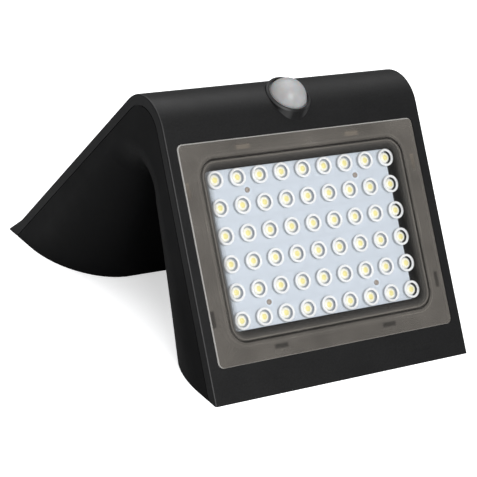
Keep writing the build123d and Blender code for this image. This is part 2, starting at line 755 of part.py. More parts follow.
with BuildPart() as sensor_dome:
    with BuildSketch(sensor_section):
        with BuildLine():
            Polyline(
                (dome_radius, dome_base),
                (dome_radius, flange_top),
                (flange_radius, flange_top),
                (flange_radius, flange_top - flange_thickness),
                (dome_bore, flange_top - flange_thickness),
                (dome_bore, dome_base),
            )
            CenterArc((0, dome_centre), inner_sphere, inner_edge, arc_size=90 - inner_edge)
            Line((0, dome_centre + inner_sphere), (0, dome_centre + dome_sphere))
            CenterArc((0, dome_centre), dome_sphere, dome_edge, arc_size=90 - dome_edge)
        make_face()
    revolve(axis=sensor_line)

sensor_dome.part.label = "sensor_dome"
export_step(sensor_dome.part, "parts/sensor_dome.step")

with BuildPart() as sensor_retainer:
    with BuildSketch(sensor_level(socket_floor)):
        Circle(plate_radius)
        Circle(retainer_bore, mode=Mode.SUBTRACT)
        with Locations(*sensor_screw_places):
            Circle(sensor_screw_radius + screw_gap, mode=Mode.SUBTRACT)
    extrude(amount=-retainer_plate)
    with BuildSketch(sensor_level(socket_floor)):
        Circle(socket_radius - 0.15)
        Circle(retainer_bore, mode=Mode.SUBTRACT)
    extrude(amount=flange_top - flange_thickness - socket_floor)

sensor_retainer.part.label = "sensor_retainer"
export_step(sensor_retainer.part, "parts/sensor_retainer.step")

board_level = socket_floor - retainer_plate
with BuildPart() as sensor_board:
    with BuildSketch(sensor_level(board_level)):
        Circle(plate_radius - sensor_board_margin)
        with Locations(*sensor_screw_places):
            Circle(sensor_screw_radius + screw_gap, mode=Mode.SUBTRACT)
    extrude(amount=-sensor_board_thickness)

sensor_board.part.label = "sensor_board"
export_step(sensor_board.part, "parts/sensor_board.step")

with BuildPart() as sensor_can:
    with BuildSketch(sensor_level(board_level)):
        Circle(sensor_can_radius)
    extrude(amount=sensor_can_height)
    fillet(sensor_can.faces().sort_by(sensor_line)[-1].edges(), 0.5)
    with BuildSketch(sensor_level(board_level)):
        Circle(sensor_can_radius + 0.5)
    extrude(amount=0.5)
    with BuildSketch(sensor_level(board_level + sensor_can_height)):
        Rectangle(sensor_window_width, sensor_window_length)
    extrude(amount=-sensor_window_depth, mode=Mode.SUBTRACT)

sensor_can.part.label = "sensor_can"
export_step(sensor_can.part, "parts/sensor_can.step")

with BuildPart() as sensor_filter:
    with BuildSketch(sensor_level(board_level + sensor_can_height)):
        Rectangle(sensor_window_width, sensor_window_length)
    extrude(amount=-sensor_window_depth)

sensor_filter.part.label = "sensor_filter"
export_step(sensor_filter.part, "parts/sensor_filter.step")

sensor_screws = screws(
    sensor_level(board_level - sensor_board_thickness),
    sensor_screw_places,
    sensor_screw_radius,
    sensor_screw_length + retainer_plate + sensor_board_thickness - 0.5,
    sensor_screw_head,
    sensor_screw_head_height,
)
sensor_screws.label = "sensor_screws"
export_step(sensor_screws, "parts/sensor_screws.step")

# ---------------------------------------------------------------- solar panel
with BuildPart() as panel_adhesive:
    with BuildSketch(solar_plane.offset(-solar_recess)):
        RectangleRounded(panel_width, panel_height, panel_corner)
        Rectangle(panel_width - 2 * adhesive_width, panel_height - 2 * adhesive_width, mode=Mode.SUBTRACT)
    extrude(amount=adhesive_thickness)

panel_adhesive.part.label = "panel_adhesive"
export_step(panel_adhesive.part, "parts/panel_adhesive.step")

backing_level = adhesive_thickness - solar_recess
with BuildPart() as panel_backing:
    with BuildSketch(solar_plane.offset(backing_level)):
        RectangleRounded(panel_width, panel_height, panel_corner)
    extrude(amount=backing_thickness)

panel_backing.part.label = "panel_backing"
export_step(panel_backing.part, "parts/panel_backing.step")

cell_level = backing_level + backing_thickness
cell_grid = GridLocations(cell_width + cell_gap, cell_height + cell_gap, cell_columns, cell_rows).locations
with BuildPart() as solar_cells:
    with BuildSketch(solar_plane.offset(cell_level)):
        with Locations(*cell_grid):
            Rectangle(cell_width, cell_height)
    extrude(amount=cell_layer - ribbon_thickness)

solar_cells.part.label = "solar_cells"
export_step(solar_cells.part, "parts/solar_cells.step")

ribbon_level = cell_level + cell_layer - ribbon_thickness
ribbon_places = [
    (column * (cell_width + cell_gap) + side * cell_width / 4, 0)
    for column in [i - (cell_columns - 1) / 2 for i in range(cell_columns)]
    for side in (-1, 1)
]
ribbon_length = cell_rows * cell_height + (cell_rows - 1) * cell_gap
with BuildPart() as cell_ribbons:
    with BuildSketch(solar_plane.offset(ribbon_level)):
        with Locations(*ribbon_places):
            Rectangle(ribbon_width, ribbon_length)
    extrude(amount=ribbon_thickness)

cell_ribbons.part.label = "cell_ribbons"
export_step(cell_ribbons.part, "parts/cell_ribbons.step")

with BuildPart() as encapsulant:
    with BuildSketch(solar_plane.offset(cell_level)):
        RectangleRounded(panel_width, panel_height, panel_corner)
    extrude(amount=cell_layer)
    add(solar_cells.part, mode=Mode.SUBTRACT)
    add(cell_ribbons.part, mode=Mode.SUBTRACT)

encapsulant.part.label = "encapsulant"
export_step(encapsulant.part, "parts/encapsulant.step")

with BuildPart() as panel_glass:
    with BuildSketch(solar_plane.offset(cell_level + cell_layer)):
        RectangleRounded(panel_width, panel_height, panel_corner)
    extrude(amount=glass_thickness)
    chamfer(panel_glass.faces().sort_by(Axis(solar_plane.origin, solar_out))[-1].edges(), 0.3)

panel_glass.part.label = "panel_glass"
export_step(panel_glass.part, "parts/panel_glass.step")

# ---------------------------------------------------------------- control board behind the solar panel
control_level = -(post_top + control_thickness)
with BuildPart() as control_board:
    with BuildSketch(solar_plane.offset(-post_top)):
        with Locations((0, control_offset)):
            Rectangle(control_width, control_height)
        with Locations(*control_places):
            Circle(small_screw_radius + screw_gap, mode=Mode.SUBTRACT)
    extrude(amount=-control_thickness)

control_board.part.label = "control_board"
export_step(control_board.part, "parts/control_board.step")


def board_block(x, y, width, length, height):
    """A block standing on the control board's inner side, x and y from the board's centre."""
    with BuildPart() as block:
        with BuildSketch(solar_plane.offset(control_level)):
            with Locations((x, control_offset + y)):
                Rectangle(width, length)
        extrude(amount=-height)
    return block.part


def board_can(x, y, radius, height):
    """A round component standing on the control board's inner side."""
    with BuildPart() as can:
        with BuildSketch(solar_plane.offset(control_level)):
            with Locations((x, control_offset + y)):
                Circle(radius)
        extrude(amount=-height)
    return can.part


with BuildPart() as control_chips:
    add(board_block(-12, 6, 6.0, 5.0, 1.5))
    add(board_block(8, 8, 5.0, 4.0, 1.4))
    add(board_block(-26, -2, 4.0, 3.0, 1.2))

control_chips.part.label = "control_chips"
export_step(control_chips.part, "parts/control_chips.step")

driver_inductor = board_can(20, -6, 5.5, 5.0)
driver_inductor.label = "driver_inductor"
export_step(driver_inductor, "parts/driver_inductor.step")

with BuildPart() as capacitors:
    for place_x in (-4, 32):
        add(board_can(place_x, -8, 3.15, 7.0))

capacitors.part.label = "capacitors"
export_step(capacitors.part, "parts/capacitors.step")

connector_places = [(-30, 16), (-10, 17), (10, 17), (30, 16), (-20, -17)]
with BuildPart() as board_connectors:
    for place_x, place_y in connector_places:
        add(board_block(place_x, place_y, 7.5, 5.5, 5.8))

board_connectors.part.label = "board_connectors"
export_step(board_connectors.part, "parts/board_connectors.step")

control_screws = screws(
    Plane(solar_plane.origin + solar_out * control_level, x_dir=(-1, 0, 0), z_dir=solar_out),
    control_places,
    small_screw_radius,
    small_screw_length,
    small_screw_head,
    small_screw_head_height,
)
control_screws.label = "control_screws"
export_step(control_screws, "parts/control_screws.step")

# ---------------------------------------------------------------- battery pack
cradle_base = -post_top
cell_centre_depth = post_top + cradle_floor + cradle_wall + cell_radius + cell_fit
battery_lines = [pack_offset + side * cell_spacing / 2 for side in (-1, 1)]

with BuildPart() as battery_cradle:
    with BuildSketch(solar_plane.offset(cradle_base)):
        with Locations((0, pack_offset)):
            Rectangle(cradle_width, cradle_height)
        with Locations((0, pack_offset)):
            Rectangle(cradle_width + 2 * cradle_ear, 2 * cradle_ear)
        with Locations(*cradle_places):
            Circle(small_screw_radius + screw_gap, mode=Mode.SUBTRACT)
    extrude(amount=-cradle_floor)
    with BuildSketch(solar_plane.offset(cradle_base - cradle_floor)):
        with Locations((0, pack_offset)):
            Rectangle(cradle_width, cradle_height)
    extrude(amount=-cradle_side)
    for line in battery_lines:
        cell_axis_point = solar_plane.origin + solar_up * line - solar_out * cell_centre_depth
        with BuildSketch(Plane(cell_axis_point, x_dir=solar_up, z_dir=(1, 0, 0))):
            Circle(cell_radius + cell_fit)
        extrude(amount=cradle_width / 2 - cradle_end, both=True, mode=Mode.SUBTRACT)

battery_cradle.part.label = "battery_cradle"
export_step(battery_cradle.part, "parts/battery_cradle.step")

for cell_name, line in zip(("battery_cell_lower", "battery_cell_upper"), battery_lines):
    axis_plane = Plane(
        solar_plane.origin + solar_up * line - solar_out * cell_centre_depth, x_dir=solar_up, z_dir=(1, 0, 0)
    )
    with BuildPart() as battery_cell:
        with BuildSketch(axis_plane.offset(-cell_length / 2)):
            Circle(cell_radius)
        extrude(amount=cell_length - cell_button)
        with BuildSketch(axis_plane):
            Circle(cell_button_radius)
        extrude(amount=cell_length / 2)
    battery_cell.part.label = cell_name
    export_step(battery_cell.part, f"parts/{cell_name}.step")

with BuildPart() as battery_contacts:
    for line in battery_lines:
        for side in (-1, 1):
            end = cradle_width / 2 - cradle_end
            with BuildSketch(Plane(
                solar_plane.origin
                + solar_up * line
                - solar_out * cell_centre_depth
                + Vector(side * (end - contact_thickness), 0, 0),
                x_dir=solar_up,
                z_dir=(side, 0, 0),
            )):
                Circle(contact_radius)
            extrude(amount=contact_thickness)

battery_contacts.part.label = "battery_contacts"
export_step(battery_contacts.part, "parts/battery_contacts.step")

cradle_screws = screws(
    Plane(solar_plane.origin + solar_out * (cradle_base - cradle_floor), x_dir=(-1, 0, 0), z_dir=solar_out),
    cradle_places,
    small_screw_radius,
    small_screw_length,
    small_screw_head,
    small_screw_head_height,
)
cradle_screws.label = "cradle_screws"
export_step(cradle_screws, "parts/cradle_screws.step")

# ---------------------------------------------------------------- mode button and its switch
with BuildPart() as mode_button:
    with BuildSketch(button_plane.offset(pad_rise + button_stand)):
        Circle(button_radius)
    extrude(amount=-(button_stand + pad_rise - pad_underside))
    fillet(mode_button.faces().sort_by(Axis(button_plane.origin, button_out))[-1].edges(), 0.6)
    with BuildSketch(button_plane.offset(pad_underside - flange_slack)):
        Circle(button_radius + button_flange)
    extrude(amount=-button_flange_thickness)
    with BuildSketch(button_plane.offset(pad_underside)):
        Circle(button_radius)
    extrude(amount=-flange_slack)
    with BuildSketch(button_plane.offset(pad_underside - flange_slack - button_flange_thickness)):
        Circle(button_stem_radius)
    extrude(amount=-button_stem_length)

mode_button.part.label = "mode_button"
export_step(mode_button.part, "parts/mode_button.step")

with BuildPart() as tact_switch:
    with BuildSketch(button_plane.offset(-switch_board_depth)):
        Rectangle(switch_body, switch_body)
    extrude(amount=switch_height)

tact_switch.part.label = "tact_switch"
export_step(tact_switch.part, "parts/tact_switch.step")

with BuildPart() as switch_board:
    with BuildSketch(button_plane.offset(-switch_board_depth)):
        Rectangle(switch_board_width, switch_board_height)
        with Locations(*switch_post_places):
            Circle(small_screw_radius + screw_gap, mode=Mode.SUBTRACT)
    extrude(amount=-switch_board_thickness)

switch_board.part.label = "switch_board"
export_step(switch_board.part, "parts/switch_board.step")

switch_screws = screws(
    button_plane.offset(-(switch_board_depth + switch_board_thickness)),
    switch_post_places,
    small_screw_radius,
    small_screw_length - 0.3,
    small_screw_head,
    small_screw_head_height,
)
switch_screws.label = "switch_screws"
export_step(switch_screws, "parts/switch_screws.step")

# ---------------------------------------------------------------- wall bracket
with BuildPart() as wall_bracket:
    with BuildSketch(Plane.XY):
        with Locations((0, bracket_y)):
            RectangleRounded(bracket_width, bracket_length, bracket_corner)
        with Locations((0, (tab_foot_y + bracket_y) / 2)):
            Rectangle(lock_tab_width, bracket_y - tab_foot_y)
        with Locations((0, tab_foot_y)):
            Rectangle(lock_tab_width, 2 * bracket_thickness)
    extrude(amount=bracket_thickness)
    with BuildSketch(Plane.XY):
        with Locations(*wall_hole_places):
            Circle(wall_hole_radius)
        with Locations(*hook_places):
            with Locations((0, hook_lip / 2)):
                Rectangle(hook_width, hook_lip + bracket_thickness)
    extrude(amount=bracket_thickness, mode=Mode.SUBTRACT)
    # hooks: a tongue cut from the plate, bent up and then over towards the solar tip
    for hook_x, hook_y in hook_places:
        with BuildSketch(Plane.YZ.offset(hook_x)):
            with BuildLine():
                Polyline(
                    (hook_y + hook_start, 0),
                    (hook_y + hook_start + bracket_thickness, 0),
                    (hook_y + hook_start + bracket_thickness, hook_level),
                    (hook_y + hook_start + bracket_thickness + hook_lip, hook_level),
                    (hook_y + hook_start + bracket_thickness + hook_lip, hook_level + bracket_thickness),
                    (hook_y + hook_start, hook_level + bracket_thickness),
                    close=True,
                )
            make_face()
        extrude(amount=hook_width / 2, both=True)
    # tab that lies against the solar wing's inner face
    tab_base = Vector(0, tab_foot_y, 0)
    tab_tip = tab_base + tab_up * lock_tab_height
    tab_back = tab_out * bracket_thickness
    with BuildSketch(Plane.YZ):
        with BuildLine():
            Polyline(
                (tab_base.Y, 0),
                (tab_tip.Y, tab_tip.Z),
                ((tab_tip + tab_back).Y, (tab_tip + tab_back).Z),
                (tab_base.Y - bracket_thickness / tab_up.Z, 0),
                close=True,
            )
        make_face()
    extrude(amount=lock_tab_width / 2, both=True)
    with BuildSketch(lock_plane.offset(bracket_gap)):
        Circle(lock_screw_radius + screw_gap)
    extrude(amount=bracket_thickness, mode=Mode.SUBTRACT)

wall_bracket.part.label = "wall_bracket"
export_step(wall_bracket.part, "parts/wall_bracket.step")

lock_screw = screws(
    Plane(
        lock_plane.origin + tab_out * (bracket_gap + bracket_thickness), x_dir=(1, 0, 0), z_dir=-tab_out
    ),
    [(0, 0)],
    lock_screw_radius,
    lock_screw_length,
    lock_screw_head,
    lock_screw_head_height,
)
lock_screw.label = "lock_screw"
export_step(lock_screw, "parts/lock_screw.step")
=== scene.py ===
"""Looks of the solar wall flood light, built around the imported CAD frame.

All lengths are in metres in the frame's own axes: X along the ridge, Y along the wall and Z out
of the wall. Shapes that repeat are made by Geometry Nodes trees and turned into plain meshes.
"""

import json
import logging
from dataclasses import dataclass, field
from enum import Enum
from math import asin, cos, pi, radians, sin
from typing import Iterable, Sequence

import bmesh
import bpy
from mathutils import Matrix, Vector

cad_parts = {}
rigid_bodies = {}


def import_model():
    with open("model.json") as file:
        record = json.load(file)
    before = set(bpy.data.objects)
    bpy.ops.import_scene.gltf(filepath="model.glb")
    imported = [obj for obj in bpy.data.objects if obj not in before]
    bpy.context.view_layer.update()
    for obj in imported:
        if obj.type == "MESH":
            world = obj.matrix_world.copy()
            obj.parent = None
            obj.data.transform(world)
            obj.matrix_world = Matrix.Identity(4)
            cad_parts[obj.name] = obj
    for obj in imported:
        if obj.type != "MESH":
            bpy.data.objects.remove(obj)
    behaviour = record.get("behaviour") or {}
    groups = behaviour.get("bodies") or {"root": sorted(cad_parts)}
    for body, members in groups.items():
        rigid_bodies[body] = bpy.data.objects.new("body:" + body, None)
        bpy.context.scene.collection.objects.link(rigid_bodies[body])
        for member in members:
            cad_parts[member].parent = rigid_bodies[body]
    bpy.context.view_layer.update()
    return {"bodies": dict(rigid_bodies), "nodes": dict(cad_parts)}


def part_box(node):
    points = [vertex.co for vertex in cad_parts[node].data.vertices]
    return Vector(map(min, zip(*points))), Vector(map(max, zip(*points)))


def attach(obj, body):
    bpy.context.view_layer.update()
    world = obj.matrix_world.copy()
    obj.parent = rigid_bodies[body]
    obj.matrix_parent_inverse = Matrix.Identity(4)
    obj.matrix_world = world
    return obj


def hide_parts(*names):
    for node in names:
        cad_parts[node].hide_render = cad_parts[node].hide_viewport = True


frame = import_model()

LOG = logging.getLogger("solar_flood_light")
MM = 0.001
RIDGE_CENTRE = Vector((0.0, -27.48 * MM, 118.81 * MM))

Colour = tuple[float, float, float]
Point = tuple[float, float]
Socket = bpy.types.NodeSocket


class Tilt(Enum):
    """The part's tilted planes, each by its turn about X in radians."""

    LAMP = radians(58.7)
    SOLAR = -radians(45.4)
    SENSOR = radians(28.8)

    def up(self) -> Vector:
        """Direction that climbs in the plane."""
        return Vector((0.0, cos(self.value), sin(self.value)))

    def out(self) -> Vector:
        """Direction square to the plane, out of the part."""
        return Vector((0.0, -sin(self.value), cos(self.value)))


def shaded(colour: Colour, share: float) -> Colour:
    """A colour made darker or lighter by a share."""
    return tuple(c * share for c in colour)


# ------------------------------------------------------------------ node helpers
@dataclass
class Shading:
    """A material under construction, with short calls for the nodes it is made of."""

    name: str
    material: bpy.types.Material = field(init=False)
    noise_low: float = 0.3
    noise_high: float = 0.7

    def __post_init__(self) -> None:
        """Make an empty node material with its output."""
        self.material = bpy.data.materials.new(self.name)
        self.material.use_nodes = True
        self.tree = self.material.node_tree
        self.tree.nodes.clear()
        self.output = self.tree.nodes.new("ShaderNodeOutputMaterial")

    def node(self, kind: str, **values: object) -> bpy.types.Node:
        """Add a node and set its properties or unlinked inputs by name.

        Args:
            kind: Blender's type name without the ShaderNode prefix.
            values: Property or input values; input names use underscores for spaces.

        Returns:
            The new node.
        """
        made = self.tree.nodes.new("ShaderNode" + kind)
        for key, value in values.items():
            label = key.replace("_", " ")
            if hasattr(made, key):
                setattr(made, key, value)
            elif label in made.inputs:
                made.inputs[label].default_value = value
            else:
                raise KeyError(f"{kind} has no {key}")
        return made

    def link(self, source: Socket, target: Socket) -> None:
        """Join two sockets."""
        self.tree.links.new(source, target)

    def place(self, origin: Vector = Vector(), tilt: Tilt | None = None) -> Socket:
        """Object coordinates moved to an origin and turned into a tilted plane.

        Args:
            origin: Point that becomes zero.
            tilt: The plane that becomes XY, or none to leave them unturned.

        Returns:
            The vector socket.
        """
        coordinates = self.node("TexCoord").outputs["Object"]
        mapping = self.node("Mapping", vector_type="TEXTURE")
        mapping.inputs["Location"].default_value = origin
        mapping.inputs["Rotation"].default_value = (tilt.value if tilt else 0.0, 0.0, 0.0)
        self.link(coordinates, mapping.inputs["Vector"])
        return mapping.outputs["Vector"]

    def noise(self, vector: Socket, scale: float, detail: float = 2.0, rough: float = 0.5) -> Socket:
        """Noise over a vector.

        Args:
            vector: The coordinates.
            scale: Cells per metre.
            detail: Finer layers added.
            rough: Strength of the finer layers.

        Returns:
            The noise factor, which mostly stays between noise_low and noise_high.
        """
        made = self.node("TexNoise", Scale=scale, Detail=detail, Roughness=rough)
        self.link(vector, made.inputs["Vector"])
        return made.outputs["Fac"]

    def ramp(self, factor: Socket, stops: Sequence[tuple[float, Colour]]) -> Socket:
        """Colour ramp over a factor.

        Args:
            factor: The driving socket.
            stops: Positions with their colours, in order.

        Returns:
            The colour socket.
        """
        made = self.node("ValToRGB")
        elements = made.color_ramp.elements
        while len(elements) < len(stops):
            elements.new(0.5)
        for element, (place, colour) in zip(elements, stops):
            element.position = place
            element.color = (*colour, 1.0)
        self.link(factor, made.inputs["Fac"])
        return made.outputs["Color"]

    def mottled(self, noise: Socket, low: Colour, high: Colour) -> Socket:
        """Colour that wanders between two shades with a noise."""
        return self.ramp(noise, [(self.noise_low, low), (self.noise_high, high)])

    def wander(self, noise: Socket, low: float, high: float) -> Socket:
        """Number that wanders between two values with a noise."""
        return self.span(noise, low, high, self.noise_low, self.noise_high)

    def span(
        self, factor: Socket, low: float, high: float, start: float = 0.0, end: float = 1.0
    ) -> Socket:
        """Map a factor from start..end to low..high, held at both ends.

        Args:
            factor: The driving socket.
            low: Result at the start.
            high: Result at the end.
            start: Factor where the change starts.
            end: Factor where it ends.

        Returns:
            The mapped number.
        """
        made = self.node("MapRange")
        self.link(factor, made.inputs["Value"])
        for key, value in (("From Min", start), ("From Max", end), ("To Min", low), ("To Max", high)):
            made.inputs[key].default_value = value
        return made.outputs["Result"]

    def math(self, operation: str, first: Socket | float, second: Socket | float = 0.0) -> Socket:
        """One arithmetic step on sockets or numbers.

        Args:
            operation: Blender's name for the step.
            first: The first value.
            second: The second value, where the step takes one.

        Returns:
            The result.
        """
        made = self.node("Math", operation=operation)
        for value, target in zip((first, second), made.inputs):
            if isinstance(value, (int, float)):
                target.default_value = value
            else:
                self.link(value, target)
        return made.outputs["Value"]

    def blend(self, factor: Socket, first: Socket | Colour, second: Socket | Colour) -> Socket:
        """Mix two colours or colour sockets.

        Args:
            factor: Share of the second colour.
            first: Colour at a share of 0.
            second: Colour at a share of 1.

        Returns:
            The mixed colour.
        """
        made = self.node("MixRGB")
        self.link(factor, made.inputs["Fac"])
        for value, target in ((first, made.inputs["Color1"]), (second, made.inputs["Color2"])):
            if isinstance(value, tuple):
                target.default_value = (*value, 1.0)
            else:
                self.link(value, target)
        return made.outputs["Color"]

    def bump(self, height: Socket, strength: float, distance: float) -> Socket:
        """Turn a height into a normal.

        Args:
            height: The height socket, from 0 to 1.
            strength: Strength of the effect.
            distance: Height of 1, in metres.

        Returns:
            The normal.
        """
        made = self.node("Bump", Strength=strength, Distance=distance)
        self.link(height, made.inputs["Height"])
        return made.outputs["Normal"]

    def principled(self, **values: object) -> bpy.types.Node:
        """Add a Principled shader that feeds the output.

        Args:
            values: Inputs that are the same all over.

        Returns:
            The shader node.
        """
        made = self.node("BsdfPrincipled", **values)
        self.link(made.outputs["BSDF"], self.output.inputs["Surface"])
        return made

    def mix(self, share: Socket, first: bpy.types.Node, second: bpy.types.Node) -> bpy.types.Node:
        """Mix two shaders.

        Args:
            share: Share of the second shader.
            first: Shader at a share of 0.
            second: Shader at a share of 1.

        Returns:
            The mixing node.
        """
        made = self.node("MixShader")
        self.link(share, made.inputs["Fac"])
        self.link(first.outputs[0], made.inputs[1])
        self.link(second.outputs[0], made.inputs[2])
        return made

    def rounded_distance(self, vector: Socket, half: Point, corner: float) -> Socket:
        """Distance outside a rounded rectangle in the XY plane, negative inside.

        Args:
            vector: Coordinates with the rectangle's centre at zero.
            half: Half width and half height.
            corner: Corner radius.

        Returns:
            The distance socket, in metres.
        """
        parts = self.node("SeparateXYZ")
        self.link(vector, parts.inputs["Vector"])
        reaches = [
            self.math("SUBTRACT", self.math("ABSOLUTE", parts.outputs[axis]), size - corner)
            for axis, size in zip("XY", half)
        ]
        beyond = [self.math("MAXIMUM", reach, 0.0) for reach in reaches]
        squares = [self.math("MULTIPLY", value, value) for value in beyond]
        length = self.math("SQRT", self.math("ADD", *squares))
        inside = self.math("MINIMUM", self.math("MAXIMUM", *reaches), 0.0)
        return self.math("SUBTRACT", self.math("ADD", length, inside), corner)


# ------------------------------------------------------------------ finishes
@dataclass(frozen=True)
class MouldedPlastic:
    """Opaque moulded plastic with a spark-eroded grain and faint flow variation."""

    name: str
    colour: Colour
    grain: float = 1700.0
    depth: float = 0.25
    roughness: float = 0.5
    shade: float = 0.12
    specular: float = 0.5
    # Painted highlight: how much lighter the edge roundings are made.
    edge_highlight: float = 0.0
    grain_height: float = 0.12 * MM
    flow_scale: float = 38.0
    rounding_start: float = 0.17
    rounding_end: float = 0.24
    highlight_cover: float = 0.85

    def paint_edge_highlight(self, s: Shading, colour: Socket) -> Socket:
        """Paint a highlight on the narrow roundings where a broad face turns into a flank.

        Args:
            s: The material under construction.
            colour: The colour so far.

        Returns:
            The colour with a painted highlight on its edges.
        """
        parts = s.node("SeparateXYZ")
        s.link(s.node("NewGeometry").outputs["Normal"], parts.inputs["Vector"])
        side = s.math("ABSOLUTE", parts.outputs["X"])
        turn = s.math("MULTIPLY", side, s.math("SUBTRACT", 1.0, side))
        share = s.span(turn, 0.0, self.highlight_cover, self.rounding_start, self.rounding_end)
        return s.blend(share, colour, tuple(c + self.edge_highlight for c in self.colour))

    def build(self) -> bpy.types.Material:
        """Make the material.

        Returns:
            The finished material.
        """
        s = Shading(self.name)
        vector = s.place()
        fine = s.noise(vector, self.grain, 2.0, 0.6)
        broad = s.noise(vector, self.flow_scale, 3.0, 0.5)
        low, high = (shaded(self.colour, 1 + change) for change in (-self.shade, self.shade))
        shader = s.principled(Specular_IOR_Level=self.specular)
        colour = s.mottled(fine, low, high)
        if self.edge_highlight:
            colour = self.paint_edge_highlight(s, colour)
        s.link(colour, shader.inputs["Base Color"])
        matt = s.wander(broad, self.roughness - 0.05, self.roughness + 0.06)
        s.link(matt, shader.inputs["Roughness"])
        s.link(s.bump(fine, self.depth, self.grain_height), shader.inputs["Normal"])
        return s.material


@dataclass(frozen=True)
class PlatedMetal:
    """Rolled or plated metal with fine scratches along one direction."""

    name: str
    colour: Colour
    roughness: float = 0.3
    stretch: tuple[float, float, float] = (40.0, 900.0, 900.0)
    scratch_depth: float = 0.05 * MM
    cloud_scale: float = 90.0

    def build(self) -> bpy.types.Material:
        """Make the material.

        Returns:
            The finished material.
        """
        s = Shading(self.name)
        coordinates = s.node("TexCoord").outputs["Object"]
        mapping = s.node("Mapping")
        mapping.inputs["Scale"].default_value = self.stretch
        s.link(coordinates, mapping.inputs["Vector"])
        lines = s.noise(mapping.outputs["Vector"], 3.0, 3.0, 0.6)
        cloud = s.noise(coordinates, self.cloud_scale, 2.0)
        shader = s.principled(Metallic=1.0)
        tone = s.mottled(cloud, shaded(self.colour, 0.82), self.colour)
        s.link(tone, shader.inputs["Base Color"])
        matt = s.wander(lines, self.roughness - 0.08, self.roughness + 0.12)
        s.link(matt, shader.inputs["Roughness"])
        s.link(s.bump(lines, 0.15, self.scratch_depth), shader.inputs["Normal"])
        return s.material


